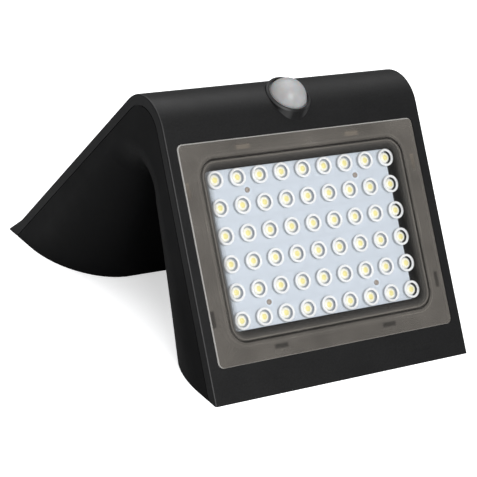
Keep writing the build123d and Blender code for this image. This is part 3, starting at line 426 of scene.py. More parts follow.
@dataclass(frozen=True)
class SmokedWindow:
    """Smoky clear polycarbonate: hazed on its border, nearly clear inside the dark step line."""

    name: str
    centre: Vector
    half: Point = (82.2 * MM, 62.8 * MM)
    corner: float = 3.5 * MM
    step_half: Point = (71.0 * MM, 52.2 * MM)
    step_corner: float = 11.0 * MM
    step_shift: Point = (0.0, 0.7 * MM)
    clip_reach: Point = (38.0 * MM, 36.0 * MM)
    clip_inset: Point = (3.6 * MM, 5.8 * MM)
    clip_half: Point = (4.6 * MM, 1.3 * MM)
    clip_corner: float = 0.6 * MM
    clip_shift: Point = (-1.5 * MM, 0.55 * MM)
    # Shift that puts the painted chamfer highlight on the left and top edges.
    highlight_shift: Point = (0.3 * MM, -0.25 * MM)
    clip_blur: float = 0.5 * MM
    thin_band: Point = (-7.5 * MM, -3.5 * MM)
    hazed_band: Point = (-0.3 * MM, 0.9 * MM)
    # Place and width of the painted dark reflection just inside the step line.
    dark_line: float = 0.7 * MM
    dark_band: Point = (0.35 * MM, 1.0 * MM)
    rim_band: Point = (-0.7 * MM, -0.3 * MM)
    chamfer_band: Point = (-0.55 * MM, -0.3 * MM)
    deep_band: Point = (-4.0 * MM, -1.0 * MM)
    clip_rise: Point = (20.0 * MM, 45.0 * MM)
    # Light lines either side of the step line, painted reflections of its curved surface.
    step_highlight_lines: tuple[tuple[float, float, float], ...] = (
        (-1.9 * MM, 0.55 * MM, 0.55),
        (1.7 * MM, 0.5 * MM, 0.3),
    )
    most_cover: float = 0.9
    least_cover: float = 0.02
    haze: Colour = (0.17, 0.155, 0.137)
    deep_haze: Colour = (0.072, 0.068, 0.063)
    # Colour of the painted highlights along the step line.
    step_highlight: Colour = (0.27, 0.25, 0.22)
    clip_low: Colour = (0.045, 0.042, 0.038)
    clip_high: Colour = (0.25, 0.215, 0.175)
    # Colour of the painted highlight on the window's chamfer.
    chamfer_highlight: Colour = (0.42, 0.41, 0.39)
    cloud_scale: float = 26.0
    grain_scale: float = 1500.0

    def plane(self, s: Shading, shift: Point = (0.0, 0.0)) -> Socket:
        """Coordinates in the window's plane, about its middle moved right and up by a shift."""
        middle_moved = self.centre + Vector((shift[0], 0.0, 0.0)) + Tilt.LAMP.up() * shift[1]
        return s.place(middle_moved, Tilt.LAMP)

    def clip_marks(self, s: Shading) -> Socket:
        """Soft marks where the snap clips stand under the border.

        Args:
            s: The material under construction.

        Returns:
            The strength of the marks, from 0 to 1.
        """
        folded = s.node("VectorMath", operation="ABSOLUTE")
        s.link(self.plane(s, self.clip_shift), folded.inputs[0])
        wide, narrow = self.clip_half
        strengths = []
        for centre, half in (
            ((self.clip_reach[0], self.half[1] - self.clip_inset[1]), (wide, narrow)),
            ((self.half[0] - self.clip_inset[0], self.clip_reach[1]), (narrow, wide)),
        ):
            moved = s.node("VectorMath", operation="SUBTRACT")
            moved.inputs[1].default_value = (*centre, 0.0)
            s.link(folded.outputs["Vector"], moved.inputs[0])
            reach = s.rounded_distance(moved.outputs["Vector"], half, self.clip_corner)
            strengths.append(s.span(reach, 1.0, 0.0, -self.clip_blur, self.clip_blur))
        return s.math("MAXIMUM", *strengths)

    def cover(self, s: Shading, step: Socket, edge: Socket, cloud: Socket) -> Socket:
        """How far the haze hides what lies behind the window.

        Args:
            s: The material under construction.
            step: Distance outside the step line.
            edge: Distance outside the window's own edge.
            cloud: Slow noise.

        Returns:
            The share of haze.
        """
        fade = s.span(step, 0.0, 0.55, *self.thin_band)
        border = s.span(step, 0.0, 0.6, *self.hazed_band)
        border = s.math("MAXIMUM", s.math("MAXIMUM", fade, self.least_cover), border)
        # The haze thins along a narrow line just inside the step line so the dark housing shows: a
        # painted dark reflection of the step's curved surface.
        line = s.math("ABSOLUTE", s.math("ADD", step, self.dark_line))
        share = s.math("MULTIPLY", border, s.span(line, 0.12, 1.0, *self.dark_band))
        share = s.math("MULTIPLY", share, s.wander(cloud, 0.9, 1.1))
        rim = s.span(edge, 0.0, 0.4, *self.rim_band)
        return s.math("MINIMUM", s.math("ADD", share, rim), self.most_cover)

    def tone(self, s: Shading, vector: Socket, step: Socket, cloud: Socket) -> Socket:
        """Colour of the haze, with painted highlights along the step line, the clips and a painted
        highlight on the chamfer.

        Args:
            s: The material under construction.
            vector: Coordinates in the window's plane.
            step: Distance outside the step line.
            cloud: Slow noise.

        Returns:
            The colour.
        """
        tone = s.ramp(cloud, [(0.25, shaded(self.haze, 0.76)), (0.75, shaded(self.haze, 1.06))])
        tone = s.blend(s.span(step, 0.0, 1.0, *self.deep_band), self.deep_haze, tone)
        # Painted highlights: light lines either side of the step line, standing for its reflections.
        for place, width, strength in self.step_highlight_lines:
            away = s.math("ABSOLUTE", s.math("SUBTRACT", step, place))
            tone = s.blend(s.span(away, strength, 0.0, 0.1 * MM, width), tone, self.step_highlight)
        split = s.node("SeparateXYZ")
        s.link(vector, split.inputs["Vector"])
        upper = s.span(split.outputs["Y"], 0.0, 1.0, *self.clip_rise)
        mark = s.blend(upper, self.clip_low, self.clip_high)
        tone = s.blend(s.math("MULTIPLY", self.clip_marks(s), 0.8), tone, mark)
        # Painted highlight on the chamfer, moved right and down so it shows on the left and top
        # edges.
        chamfer = s.rounded_distance(self.plane(s, self.highlight_shift), self.half, self.corner)
        return s.blend(s.span(chamfer, 0.0, 1.0, *self.chamfer_band), tone, self.chamfer_highlight)

    def build(self) -> bpy.types.Material:
        """Make the material.

        Returns:
            The finished material.
        """
        s = Shading(self.name)
        vector = self.plane(s)
        edge = s.rounded_distance(vector, self.half, self.corner)
        step = s.rounded_distance(self.plane(s, self.step_shift), self.step_half, self.step_corner)
        cloud = s.noise(vector, self.cloud_scale, 3.0, 0.55)
        grain = s.noise(vector, self.grain_scale, 2.0, 0.5)
        body = s.node("BsdfPrincipled")
        s.link(self.tone(s, vector, step, cloud), body.inputs["Base Color"])
        s.link(s.wander(grain, 0.22, 0.34), body.inputs["Roughness"])
        clear = s.node("BsdfTransparent", Color=(0.985, 0.985, 0.985, 1.0))
        gloss = s.node("BsdfGlossy", Roughness=0.08)
        glazed = s.mix(s.node("Fresnel", IOR=1.35).outputs["Fac"], clear, gloss)
        mixed = s.mix(self.cover(s, step, edge, cloud), glazed, body)
        s.link(mixed.outputs["Shader"], s.output.inputs["Surface"])
        return s.material


@dataclass(frozen=True)
class ThinClear:
    """A thin clear skin: mostly see-through, with a shine that grows towards its rim."""

    name: str
    tint: Colour
    cover: float
    roughness: float = 0.06
    cloud_scale: float = 220.0

    def build(self) -> bpy.types.Material:
        """Make the material.

        Returns:
            The finished material.
        """
        s = Shading(self.name)
        cloud = s.noise(s.place(), self.cloud_scale, 2.0)
        body = s.node("BsdfPrincipled", Roughness=self.roughness)
        s.link(s.mottled(cloud, shaded(self.tint, 0.92), self.tint), body.inputs["Base Color"])
        rim = s.node("LayerWeight", Blend=0.35).outputs["Facing"]
        share = s.span(rim, self.cover * 0.5, min(1.0, self.cover * 2.2))
        mixed = s.mix(share, s.node("BsdfTransparent"), body)
        s.link(mixed.outputs["Shader"], s.output.inputs["Surface"])
        return s.material


@dataclass(frozen=True)
class PaintedShadeWall:
    """A clear wall seen edge on, tinted as painted shade: it only darkens what lies behind it."""

    name: str
    tint: Colour
    cloud_scale: float = 700.0

    def build(self) -> bpy.types.Material:
        """Make the material.

        Returns:
            The finished material.
        """
        s = Shading(self.name)
        cloud = s.noise(s.place(), self.cloud_scale, 2.0)
        clear = s.node("BsdfTransparent")
        light = tuple(min(1.0, c * 1.25) for c in self.tint)
        s.link(s.mottled(cloud, self.tint, light), clear.inputs["Color"])
        s.link(clear.outputs["BSDF"], s.output.inputs["Surface"])
        return s.material


@dataclass(frozen=True)
class MilkyDome:
    """Milky polyethylene, with the faint facets of a motion-sensor lens moulded inside."""

    name: str
    colour: Colour
    origin: Vector
    facet_scale: float = 210.0
    cloud_scale: float = 160.0
    facet_depth: float = 0.2 * MM

    def build(self) -> bpy.types.Material:
        """Make the material.

        Returns:
            The finished material.
        """
        s = Shading(self.name)
        vector = s.place(self.origin, Tilt.SENSOR)
        cells = s.node("TexVoronoi", Scale=self.facet_scale, feature="DISTANCE_TO_EDGE")
        s.link(vector, cells.inputs["Vector"])
        ribs = s.span(cells.outputs["Distance"], 0.0, 1.0, 0.0, 0.08)
        cloud = s.noise(vector, self.cloud_scale, 3.0)
        shader = s.principled(Roughness=0.36, Subsurface_Weight=0.25, Subsurface_Scale=0.002)
        tone = s.mottled(cloud, shaded(self.colour, 0.86), self.colour)
        s.link(tone, shader.inputs["Base Color"])
        s.link(s.bump(ribs, 0.06, self.facet_depth), shader.inputs["Normal"])
        return s.material


@dataclass(frozen=True)
class LampBoard:
    """White solder mask with faint copper tracks showing through as slightly raised bands, and a
    painted glow.
    """

    name: str
    colour: Colour
    centre: Vector
    painted_glow: float = 0.26
    track_scale: float = 30.0
    track_height: float = 0.1 * MM
    cloud_scale: float = 70.0

    def build(self) -> bpy.types.Material:
        """Make the material.

        Returns:
            The finished material.
        """
        s = Shading(self.name)
        vector = s.place(self.centre, Tilt.LAMP)
        tracks = s.node("TexBrick", Scale=self.track_scale, Mortar_Size=0.03, Mortar_Smooth=0.3)
        tracks.inputs["Color1"].default_value = (*self.colour, 1.0)
        tracks.inputs["Color2"].default_value = (*shaded(self.colour, 0.985), 1.0)
        tracks.inputs["Mortar"].default_value = (*shaded(self.colour, 0.95), 1.0)
        s.link(vector, tracks.inputs["Vector"])
        cloud = s.noise(vector, self.cloud_scale, 2.0)
        # The board's emission is painted light that keeps it bright inside the optics.
        shader = s.principled(Emission_Strength=self.painted_glow)
        shader.inputs["Emission Color"].default_value = (*self.colour, 1.0)
        s.link(tracks.outputs["Color"], shader.inputs["Base Color"])
        s.link(s.wander(cloud, 0.32, 0.45), shader.inputs["Roughness"])
        s.link(s.bump(tracks.outputs["Fac"], 0.1, self.track_height), shader.inputs["Normal"])
        return s.material


@dataclass(frozen=True)
class CircuitBoard:
    """Green solder mask with tracks and pads."""

    name: str
    colour: Colour
    tilt: Tilt
    track_scale: float = 120.0
    track_height: float = 0.06 * MM
    weave_scale: float = 600.0

    def build(self) -> bpy.types.Material:
        """Make the material.

        Returns:
            The finished material.
        """
        s = Shading(self.name)
        vector = s.place(tilt=self.tilt)
        tracks = s.node("TexBrick", Scale=self.track_scale, Mortar_Size=0.08, offset=0.37)
        tracks.inputs["Color1"].default_value = (*self.colour, 1.0)
        tracks.inputs["Color2"].default_value = (*shaded(self.colour, 1.3), 1.0)
        tracks.inputs["Mortar"].default_value = (*shaded(self.colour, 2.0), 1.0)
        s.link(vector, tracks.inputs["Vector"])
        weave = s.noise(vector, self.weave_scale, 2.0)
        shader = s.principled(Coat_Weight=0.3)
        s.link(tracks.outputs["Color"], shader.inputs["Base Color"])
        s.link(s.wander(weave, 0.28, 0.4), shader.inputs["Roughness"])
        s.link(s.bump(tracks.outputs["Fac"], 0.3, self.track_height), shader.inputs["Normal"])
        return s.material


@dataclass(frozen=True)
class SolarCell:
    """Blue-black silicon with fine silver fingers and a slight shade change over each wafer."""

    name: str
    colour: Colour
    fingers: float = 980.0
    silver: Colour = (0.16, 0.17, 0.20)
    crystal_scale: float = 160.0

    def build(self) -> bpy.types.Material:
        """Make the material.

        Returns:
            The finished material.
        """
        s = Shading(self.name)
        vector = s.place(tilt=Tilt.SOLAR)
        wave = s.node("TexWave", Scale=self.fingers / (2 * pi), bands_direction="Y")
        s.link(vector, wave.inputs["Vector"])
        crystal = s.node("TexVoronoi", Scale=self.crystal_scale)
        s.link(vector, crystal.inputs["Vector"])
        hue = s.ramp(
            crystal.outputs["Distance"], [(0.1, shaded(self.colour, 0.8)), (0.9, self.colour)]
        )
        finger = s.span(wave.outputs["Fac"], 0.0, 1.0, 0.93, 0.99)
        shader = s.principled(Roughness=0.25, Specular_IOR_Level=0.6)
        s.link(s.blend(finger, hue, self.silver), shader.inputs["Base Color"])
        return s.material


@dataclass(frozen=True)
class SmallGlossy:
    """A small glossy piece, such as an optic's rim or an LED, slightly uneven in shade, with an
    optional painted glow.
    """

    name: str
    colour: Colour
    roughness: float = 0.16
    painted_glow: float = 0.0
    cloud_scale: float = 900.0

    def build(self) -> bpy.types.Material:
        """Make the material.

        Returns:
            The finished material.
        """
        s = Shading(self.name)
        cloud = s.noise(s.place(), self.cloud_scale, 2.0)
        shader = s.principled(Coat_Weight=0.5, Coat_Roughness=0.05)
        # Painted glow: emission that brightens the piece, not a lit lamp.
        if self.painted_glow:
            shader.inputs["Emission Color"].default_value = (*self.colour, 1.0)
            shader.inputs["Emission Strength"].default_value = self.painted_glow
        tone = s.mottled(cloud, shaded(self.colour, 0.9), self.colour)
        s.link(tone, shader.inputs["Base Color"])
        s.link(s.wander(cloud, self.roughness, self.roughness + 0.1), shader.inputs["Roughness"])
        return s.material


# ------------------------------------------------------------------ shape helpers
def turned(name: str, profile: Iterable[Point], segments: int) -> bpy.types.Mesh:
    """Turn a profile of (radius, height) points about Z into a smooth mesh.

    Args:
        name: The mesh's name.
        profile: Points from one end to the other, in metres.
        segments: Steps round the axis.

    Returns:
        The mesh, with outward normals.
    """
    work = bmesh.new()
    rings = []
    for radius, height in profile:
        if radius < 1e-7:
            rings.append([work.verts.new((0.0, 0.0, height))])
        else:
            angles = [2 * pi * step / segments for step in range(segments)]
            rings.append([work.verts.new((radius * cos(a), radius * sin(a), height)) for a in angles])
    for lower, upper in zip(rings, rings[1:]):
        for step in range(segments):
            corners = [
                lower[step % len(lower)],
                lower[(step + 1) % len(lower)],
                upper[(step + 1) % len(upper)],
                upper[step % len(upper)],
            ]
            unique = list(dict.fromkeys(corners))
            if len(unique) > 2:
                work.faces.new(unique)
    bmesh.ops.recalc_face_normals(work, faces=work.faces)
    mesh = bpy.data.meshes.new(name)
    work.to_mesh(mesh)
    work.free()
    mesh.polygons.foreach_set("use_smooth", [True] * len(mesh.polygons))
    return mesh


def show(name: str, mesh: bpy.types.Mesh) -> bpy.types.Object:
    """Put a mesh in the scene.

    Args:
        name: Name of the mesh and its object.
        mesh: The mesh.

    Returns:
        The new object.
    """
    mesh.name = name
    made = bpy.data.objects.new(name, mesh)
    bpy.context.scene.collection.objects.link(made)
    LOG.info("%s: %d faces", name, len(mesh.polygons))
    return made


@dataclass
class GridTree:
    """A Geometry Nodes tree that sets one shape on every point of a grid."""

    name: str
    columns: int = 9
    rows: int = 6
    pitch: Point = (15.0 * MM, 16.0 * MM)

    def tree(self, shape: bpy.types.Object, material: bpy.types.Material) -> bpy.types.NodeTree:
        """Build the node tree.

        Args:
            shape: Helper object that holds the repeated shape.
            material: Finish for the whole result.

        Returns:
            The tree, with the inputs Columns, Rows, Pitch X and Pitch Y.
        """
        tree = bpy.data.node_groups.new(self.name, "GeometryNodeTree")
        interface = tree.interface
        interface.new_socket("Geometry", in_out="OUTPUT", socket_type="NodeSocketGeometry")
        for label, kind in (
            ("Columns", "NodeSocketInt"),
            ("Rows", "NodeSocketInt"),
            ("Pitch X", "NodeSocketFloat"),
            ("Pitch Y", "NodeSocketFloat"),
        ):
            interface.new_socket(label, in_out="INPUT", socket_type=kind)
        nodes, links = tree.nodes, tree.links
        source, sink = nodes.new("NodeGroupInput"), nodes.new("NodeGroupOutput")
        grid = nodes.new("GeometryNodeMeshGrid")
        for count, pitch, size, vertices in (
            ("Columns", "Pitch X", "Size X", "Vertices X"),
            ("Rows", "Pitch Y", "Size Y", "Vertices Y"),
        ):
            gaps = nodes.new("ShaderNodeMath")
            gaps.operation = "SUBTRACT"
            gaps.inputs[1].default_value = 1.0
            length = nodes.new("ShaderNodeMath")
            length.operation = "MULTIPLY"
            links.new(source.outputs[count], gaps.inputs[0])
            links.new(gaps.outputs[0], length.inputs[0])
            links.new(source.outputs[pitch], length.inputs[1])
            links.new(length.outputs[0], grid.inputs[size])
            links.new(source.outputs[count], grid.inputs[vertices])
        info = nodes.new("GeometryNodeObjectInfo")
        info.inputs["Object"].default_value = shape
        scatter = nodes.new("GeometryNodeInstanceOnPoints")
        realize = nodes.new("GeometryNodeRealizeInstances")
        paint = nodes.new("GeometryNodeSetMaterial")
        paint.inputs["Material"].default_value = material
        links.new(grid.outputs["Mesh"], scatter.inputs["Points"])
        links.new(info.outputs["Geometry"], scatter.inputs["Instance"])
        links.new(scatter.outputs["Instances"], realize.inputs["Geometry"])
        links.new(realize.outputs["Geometry"], paint.inputs["Geometry"])
        links.new(paint.outputs["Geometry"], sink.inputs["Geometry"])
        return tree

    def build(
        self, mesh: bpy.types.Mesh, material: bpy.types.Material, place: Matrix
    ) -> bpy.types.Object:
        """Repeat a mesh over the grid and bake the result into one plain mesh.

        Args:
            mesh: Shape of one item, about its own origin.
            material: Finish for all items.
            place: Matrix of the grid's plane in the frame.

        Returns:
            The finished object at the frame's origin.
        """
        shape = show(self.name + "_item", mesh)
        carrier = show(self.name + "_carrier", bpy.data.meshes.new("carrier"))
        modifier = carrier.modifiers.new("grid", "NODES")
        modifier.node_group = self.tree(shape, material)
        values = {
            "Columns": self.columns,
            "Rows": self.rows,
            "Pitch X": self.pitch[0],
            "Pitch Y": self.pitch[1],
        }
        for item in modifier.node_group.interface.items_tree:
            if item.in_out == "INPUT":
                modifier[item.identifier] = values[item.name]
        bpy.context.view_layer.update()
        graph = bpy.context.evaluated_depsgraph_get()
        result = bpy.data.meshes.new_from_object(carrier.evaluated_get(graph))
        for helper in (carrier, shape):
            bpy.data.objects.remove(helper)
        result.transform(place)
        finished = show(self.name, result)
        finished.data.materials.clear()
        finished.data.materials.append(material)
        return finished


def rounded_outline(half: Point, corner: float, steps: int = 8) -> list[Point]:
    """Points of a rounded rectangle about zero.

    Args:
        half: Half width and half height.
        corner: Corner radius.
        steps: Steps round each corner.

    Returns:
        The points in order.
    """
    points = []
    for quarter, (i, j) in enumerate(((1, 1), (-1, 1), (-1, -1), (1, -1))):
        centre = (i * (half[0] - corner), j * (half[1] - corner))
        for step in range(steps + 1):
            angle = (quarter + step / steps) * pi / 2
            points.append((centre[0] + corner * cos(angle), centre[1] + corner * sin(angle)))
    return points


def circle_outline(centre: Point, radius: float, steps: int = 28) -> list[Point]:
    """Points of a circle."""
    angles = [2 * pi * step / steps for step in range(steps)]
    return [(centre[0] + radius * cos(a), centre[1] + radius * sin(a)) for a in angles]


def flat_plate(
    name: str, outlines: Sequence[Sequence[Point]], low: float, high: float, soft: float
) -> bpy.types.Mesh:
    """Plate between two heights from an outer outline and its holes, with softened edges.

    Args:
        name: The mesh's name.
        outlines: The outer outline first, then the holes.
        low: Height of the under side.
        high: Height of the top.
        soft: Size of the rounding on every edge.

    Returns:
        The plate's mesh.
    """
    curve = bpy.data.curves.new(name, "CURVE")
    curve.dimensions, curve.fill_mode = "2D", "BOTH"
    curve.extrude = (high - low) / 2 - soft
    curve.bevel_depth, curve.bevel_resolution, curve.offset = soft, 2, -soft
    for outline in outlines:
        spline = curve.splines.new("POLY")
        spline.points.add(len(outline) - 1)
        for point, (x, y) in zip(spline.points, outline):
            point.co = (x, y, 0.0, 1.0)
        spline.use_cyclic_u = True
    holder = bpy.data.objects.new(name, curve)
    bpy.context.scene.collection.objects.link(holder)
    bpy.context.view_layer.update()
    graph = bpy.context.evaluated_depsgraph_get()
    mesh = bpy.data.meshes.new_from_object(holder.evaluated_get(graph))
    bpy.data.objects.remove(holder)
    mesh.transform(Matrix.Translation((0.0, 0.0, (low + high) / 2)))
    return mesh


def plane_matrix(origin: Vector, tilt: Tilt) -> Matrix:
    """Matrix of a tilted plane through an origin."""
    return Matrix.Translation(origin) @ Matrix.Rotation(tilt.value, 4, "X")


def middle(node: str) -> Vector:
    """Centre of a CAD node's box."""
    low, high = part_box(node)
    return (low + high) / 2


def dress(node: str, material: bpy.types.Material) -> None:
    """Give a CAD node one finish.

    Args:
        node: The node's name.
        material: Its finish.
    """
    slots = frame["nodes"][node].data.materials
    slots.clear()
    slots.append(material)
    LOG.info("%s: dressed as %s", node, material.name)


# ------------------------------------------------------------------ sub-assemblies
@dataclass
class LampPanel:
    """LED board with its packages, phosphor spots and moulded optics, behind the smoked window."""

    body: str
    board_thickness: float = 1.6 * MM
    ring_radius: float = 5.3 * MM
    ring_height: float = 2.2 * MM
    rim_height: float = 1.1 * MM
    rim_draft: float = 0.05 * MM
    wall_inset: float = 0.1 * MM
    wall_gap: float = 0.05 * MM
    well_drop: Point = (0.45 * MM, 1.8 * MM)
    well_flare: Point = (0.03 * MM, -0.1 * MM)
    round_steps: int = 32
    well_radius: float = 3.85 * MM
    bubble_radius: float = 3.7 * MM
    bubble_height: float = 1.7 * MM
    optic_shift: float = 1.0 * MM
    chip_half: float = 1.75 * MM
    chip_height: float = 0.75 * MM
    chip_bevel: float = 0.15 * MM
    phosphor_radius: float = 2.05 * MM
    phosphor_rise: float = 1.45 * MM
    halo_radius: float = 3.1 * MM
    halo_rise: float = 1.2 * MM
    sheet_half: Point = (62.7 * MM, 45.5 * MM)
    sheet_corner: float = 2.0 * MM
    sheet_gap: float = 0.03 * MM
    sheet_soft: float = 0.15 * MM
    lens_base: float = 1.0 * MM
    screw_spacing: Point = (76.0 * MM, 64.6 * MM)
    screw_hole: float = 2.9 * MM
    screw_radius: float = 1.6 * MM
    screw_rise: float = 1.25 * MM
    shank_radius: float = 1.2 * MM
    shank_end: float = 5.8 * MM
    shank_point: float = 0.8 * MM

    def plane(self) -> Matrix:
        """Plane of the board's lamp side, at the middle of the lens grid."""
        face = middle("led_board") + Tilt.LAMP.out() * self.board_thickness / 2
        return plane_matrix(face, Tilt.LAMP)

    def ring(self) -> bpy.types.Mesh:
        """Milky rim at the top of one optic, rounded on both sides.

        Returns:
            The rim's mesh.
        """
        outer, inner, top = self.ring_radius, self.well_radius, self.lens_base + self.ring_height
        half = (outer - inner) / 2
        rise = half * 0.8
        angles = [pi * step / 6 for step in range(7)]
        rounded = [(outer - half + half * cos(a), top - rise + rise * sin(a)) for a in angles]
        foot, draft = top - self.rim_height, self.rim_draft
        profile = [(outer - draft, foot), *rounded, (inner + draft, foot)]
        return turned("ring", profile, self.round_steps)

    def wall(self) -> bpy.types.Mesh:
        """Clear outer wall of one optic, under its rim.

        Returns:
            The wall's mesh.
        """
        near = self.ring_radius - self.wall_inset
        top = self.lens_base + self.ring_height - self.rim_height
        return turned("wall", [(near, self.wall_gap), (near, top)], self.round_steps)

    def well(self) -> bpy.types.Mesh:
        """Inner wall of one optic, tinted as painted shade that darkens what lies behind it.

        Returns:
            The wall's mesh.
        """
        top = self.lens_base + self.ring_height
        profile = [
            (self.well_radius + flare, top - drop)
            for flare, drop in zip(self.well_flare, self.well_drop)
        ]
        return turned("well", profile, self.round_steps)

    def bubble(self) -> bpy.types.Mesh:
        """Clear dome over one LED.

        Returns:
            The dome's mesh.
        """
        angles = [step / 7 * pi / 2 for step in range(8)]
        radius, height = self.bubble_radius, self.bubble_height
        profile = [(radius * cos(a), self.lens_base + height * sin(a)) for a in angles]
        return turned("bubble", profile, 28)

    def package(self) -> bpy.types.Mesh:
        """White LED package with bevelled edges.

        Returns:
            The package's mesh.
        """
        work = bmesh.new()
        bmesh.ops.create_cube(work, size=1.0)
        size = (2 * self.chip_half, 2 * self.chip_half, self.chip_height)
        bmesh.ops.scale(work, vec=size, verts=work.verts)
        bmesh.ops.translate(work, vec=(0, 0, self.chip_height / 2), verts=work.verts)
        bmesh.ops.bevel(
            work, geom=work.edges, offset=self.chip_bevel, segments=2, affect="EDGES", profile=0.5
        )
        mesh = bpy.data.meshes.new("package")
        work.to_mesh(mesh)
        work.free()
        return mesh

    def dome(self, radius: float, rise: float) -> bpy.types.Mesh:
        """Low dome on the package, such as the phosphor and the pale halo round it, which carries a
        painted glow.
        """
        steps = [(1.0, 0.0), (0.97, 0.5), (0.8, 0.8), (0.5, 0.95), (0.0, 1.0)]
        return turned("dome", [(radius * r, self.chip_height + rise * up) for r, up in steps], 20)

    def sheet(self, place: Matrix, material: bpy.types.Material) -> bpy.types.Object:
        """Thin moulded sheet that joins the optics, with softened edges and holes for the screws.

        Args:
            place: Matrix of the board's plane.
            material: The sheet's finish.

        Returns:
            The finished object.
        """
        across, along = (spacing / 2 for spacing in self.screw_spacing)
        centres = [(across * i, along * j) for i in (-1, 1) for j in (-1, 1)]
        outlines = [rounded_outline(self.sheet_half, self.sheet_corner)]
        outlines += [circle_outline(centre, self.screw_hole) for centre in centres]
        mesh = flat_plate(
            "lens_base_sheet", outlines, self.sheet_gap, self.lens_base, self.sheet_soft
        )
        mesh.transform(place)
        made = show("lens_base_sheet", mesh)
        made.data.materials.append(material)
        return made

    def screw(self) -> bpy.types.Mesh:
        """Pan-head board screw with a round driving recess.

        Returns:
            The screw's mesh.
        """
        r, h, shank, end = self.screw_radius, self.screw_rise, self.shank_radius, -self.shank_end
        profile = [(0.0, end), (0.7 * shank, end), (shank, end + self.shank_point), (shank, 0.0)]
        profile += [(r, 0.0), (r, 0.35 * h), (0.88 * r, 0.72 * h), (0.6 * r, 0.95 * h), (0.42 * r, h)]
        profile += [(0.34 * r, 0.9 * h), (0.26 * r, 0.45 * h), (0.0, 0.4 * h)]
        return turned("board_screw", profile, 28)

    def pieces(self) -> dict[str, tuple[bpy.types.Mesh, bpy.types.Material]]:
        """Shape and finish of each piece that repeats over the grid, the four optics first.

        Returns:
            The meshes and materials by piece name.
        """
        phosphor = self.dome(self.phosphor_radius, self.phosphor_rise)
        halo = self.dome(self.halo_radius, self.halo_rise)
        yellow, pale, milk = (0.93, 0.84, 0.34), (0.95, 0.93, 0.80), (0.93, 0.94, 0.95)
        white, clear = (0.86, 0.86, 0.82), (0.97, 0.97, 0.95)
        # The last number of the rim, phosphor and halo finishes is a painted glow; the pale halo
        # brightens the well round the phosphor.
        return {
            "lens_rings": (self.ring(), SmallGlossy("optic_rim", milk, 0.16, 0.27).build()),
            "lens_walls": (self.wall(), ThinClear("optic_wall", (0.95, 0.96, 1.0), 0.12).build()),
            # The wells' tint is painted shade: the dark crescent inside each optic and the soft shade
            # beside it.
            "lens_wells": (self.well(), PaintedShadeWall("optic_painted_shade", (0.66, 0.67, 0.73)).build()),
            "lens_bubbles": (self.bubble(), ThinClear("optic_clear", clear, 0.10).build()),
            "led_packages": (self.package(), SmallGlossy("led_package", white, 0.3).build()),
            "led_phosphor": (phosphor, SmallGlossy("led_phosphor", yellow, 0.35, 0.28).build()),
            "phosphor_glow": (halo, SmallGlossy("phosphor_glow", pale, 0.3, 0.3).build()),
        }

    def build(self) -> None:
        """Make the pieces and tie them to their body."""
        place = self.plane()
        mask = LampBoard("led_solder_mask", (0.66, 0.72, 0.79), middle("led_board"))
        dress("led_board", mask.build())
        pieces = self.pieces()
        bronze = SmallGlossy("screw_bronze", (0.46, 0.40, 0.35), 0.3).build()
        corners = GridTree("led_screw_heads", 2, 2, self.screw_spacing)
        heads = corners.build(self.screw(), bronze, place)
        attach(heads, self.body)
        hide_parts("led_board_screws")
        sheet = self.sheet(place, ThinClear("optic_sheet", (0.90, 0.94, 1.0), 0.04).build())
        shifted = place @ Matrix.Translation((self.optic_shift, 0.0, 0.0))
        made = [
            GridTree(name).build(mesh, finish, shifted) for name, (mesh, finish) in pieces.items()
        ]
        optics, lights = made[:4] + [sheet], made[4:]
        for piece in optics:
            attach(piece, self.body)
            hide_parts("lens_sheet")
        for piece in lights:
            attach(piece, self.body)
            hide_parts("led_chips")


@dataclass
class MotionSensor:
    """Milky dome in the collar on the ridge."""

    body: str
    radius: float = 11.2 * MM
    height: float = 8.5 * MM
    wall: float = 1.0 * MM
    flange: float = 13.1 * MM
    flange_height: float = 1.2 * MM
    skirt_height: float = 1.6 * MM
    seat: float = 26.4 * MM
    steps: int = 20

    def profile(self, sphere: float, base: float) -> list[Point]:
        """Closed outline of the shell, with its skirt and flange.

        Args:
            sphere: Radius of the dome's sphere.
            base: Height of the dome's foot above the sphere's middle.

        Returns:
            Points of (radius, height) about the sphere's middle.
        """
        start = asin(base / sphere)
        arc = [start + (pi / 2 - start) * step / self.steps for step in range(self.steps + 1)]
        hollow = sphere - self.wall
        outer = [(sphere * cos(a), sphere * sin(a)) for a in arc]
        inner = [(hollow * cos(a), hollow * sin(a)) for a in reversed(arc)]
        skirt = base - self.skirt_height
        foot = skirt - self.flange_height
        points = [(self.flange, foot), (self.flange, skirt), (self.radius, skirt), *outer, *inner]
        return points + [(self.radius - self.wall, foot), (self.flange, foot)]

    def build(self) -> None:
        """Make the dome where the CAD dome is."""
        sphere = (self.radius**2 + self.height**2) / (2 * self.height)
        base = sphere - self.height
        centre = RIDGE_CENTRE + Tilt.SENSOR.out() * (self.seat - base)
        mesh = turned("dome", self.profile(sphere, base), 72)
        mesh.transform(plane_matrix(centre, Tilt.SENSOR))
        dome = show("sensor_dome_shell", mesh)
        dome.data.materials.append(MilkyDome("dome_milk", (0.37, 0.37, 0.37), centre).build())
        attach(dome, self.body)
        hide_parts("sensor_dome")


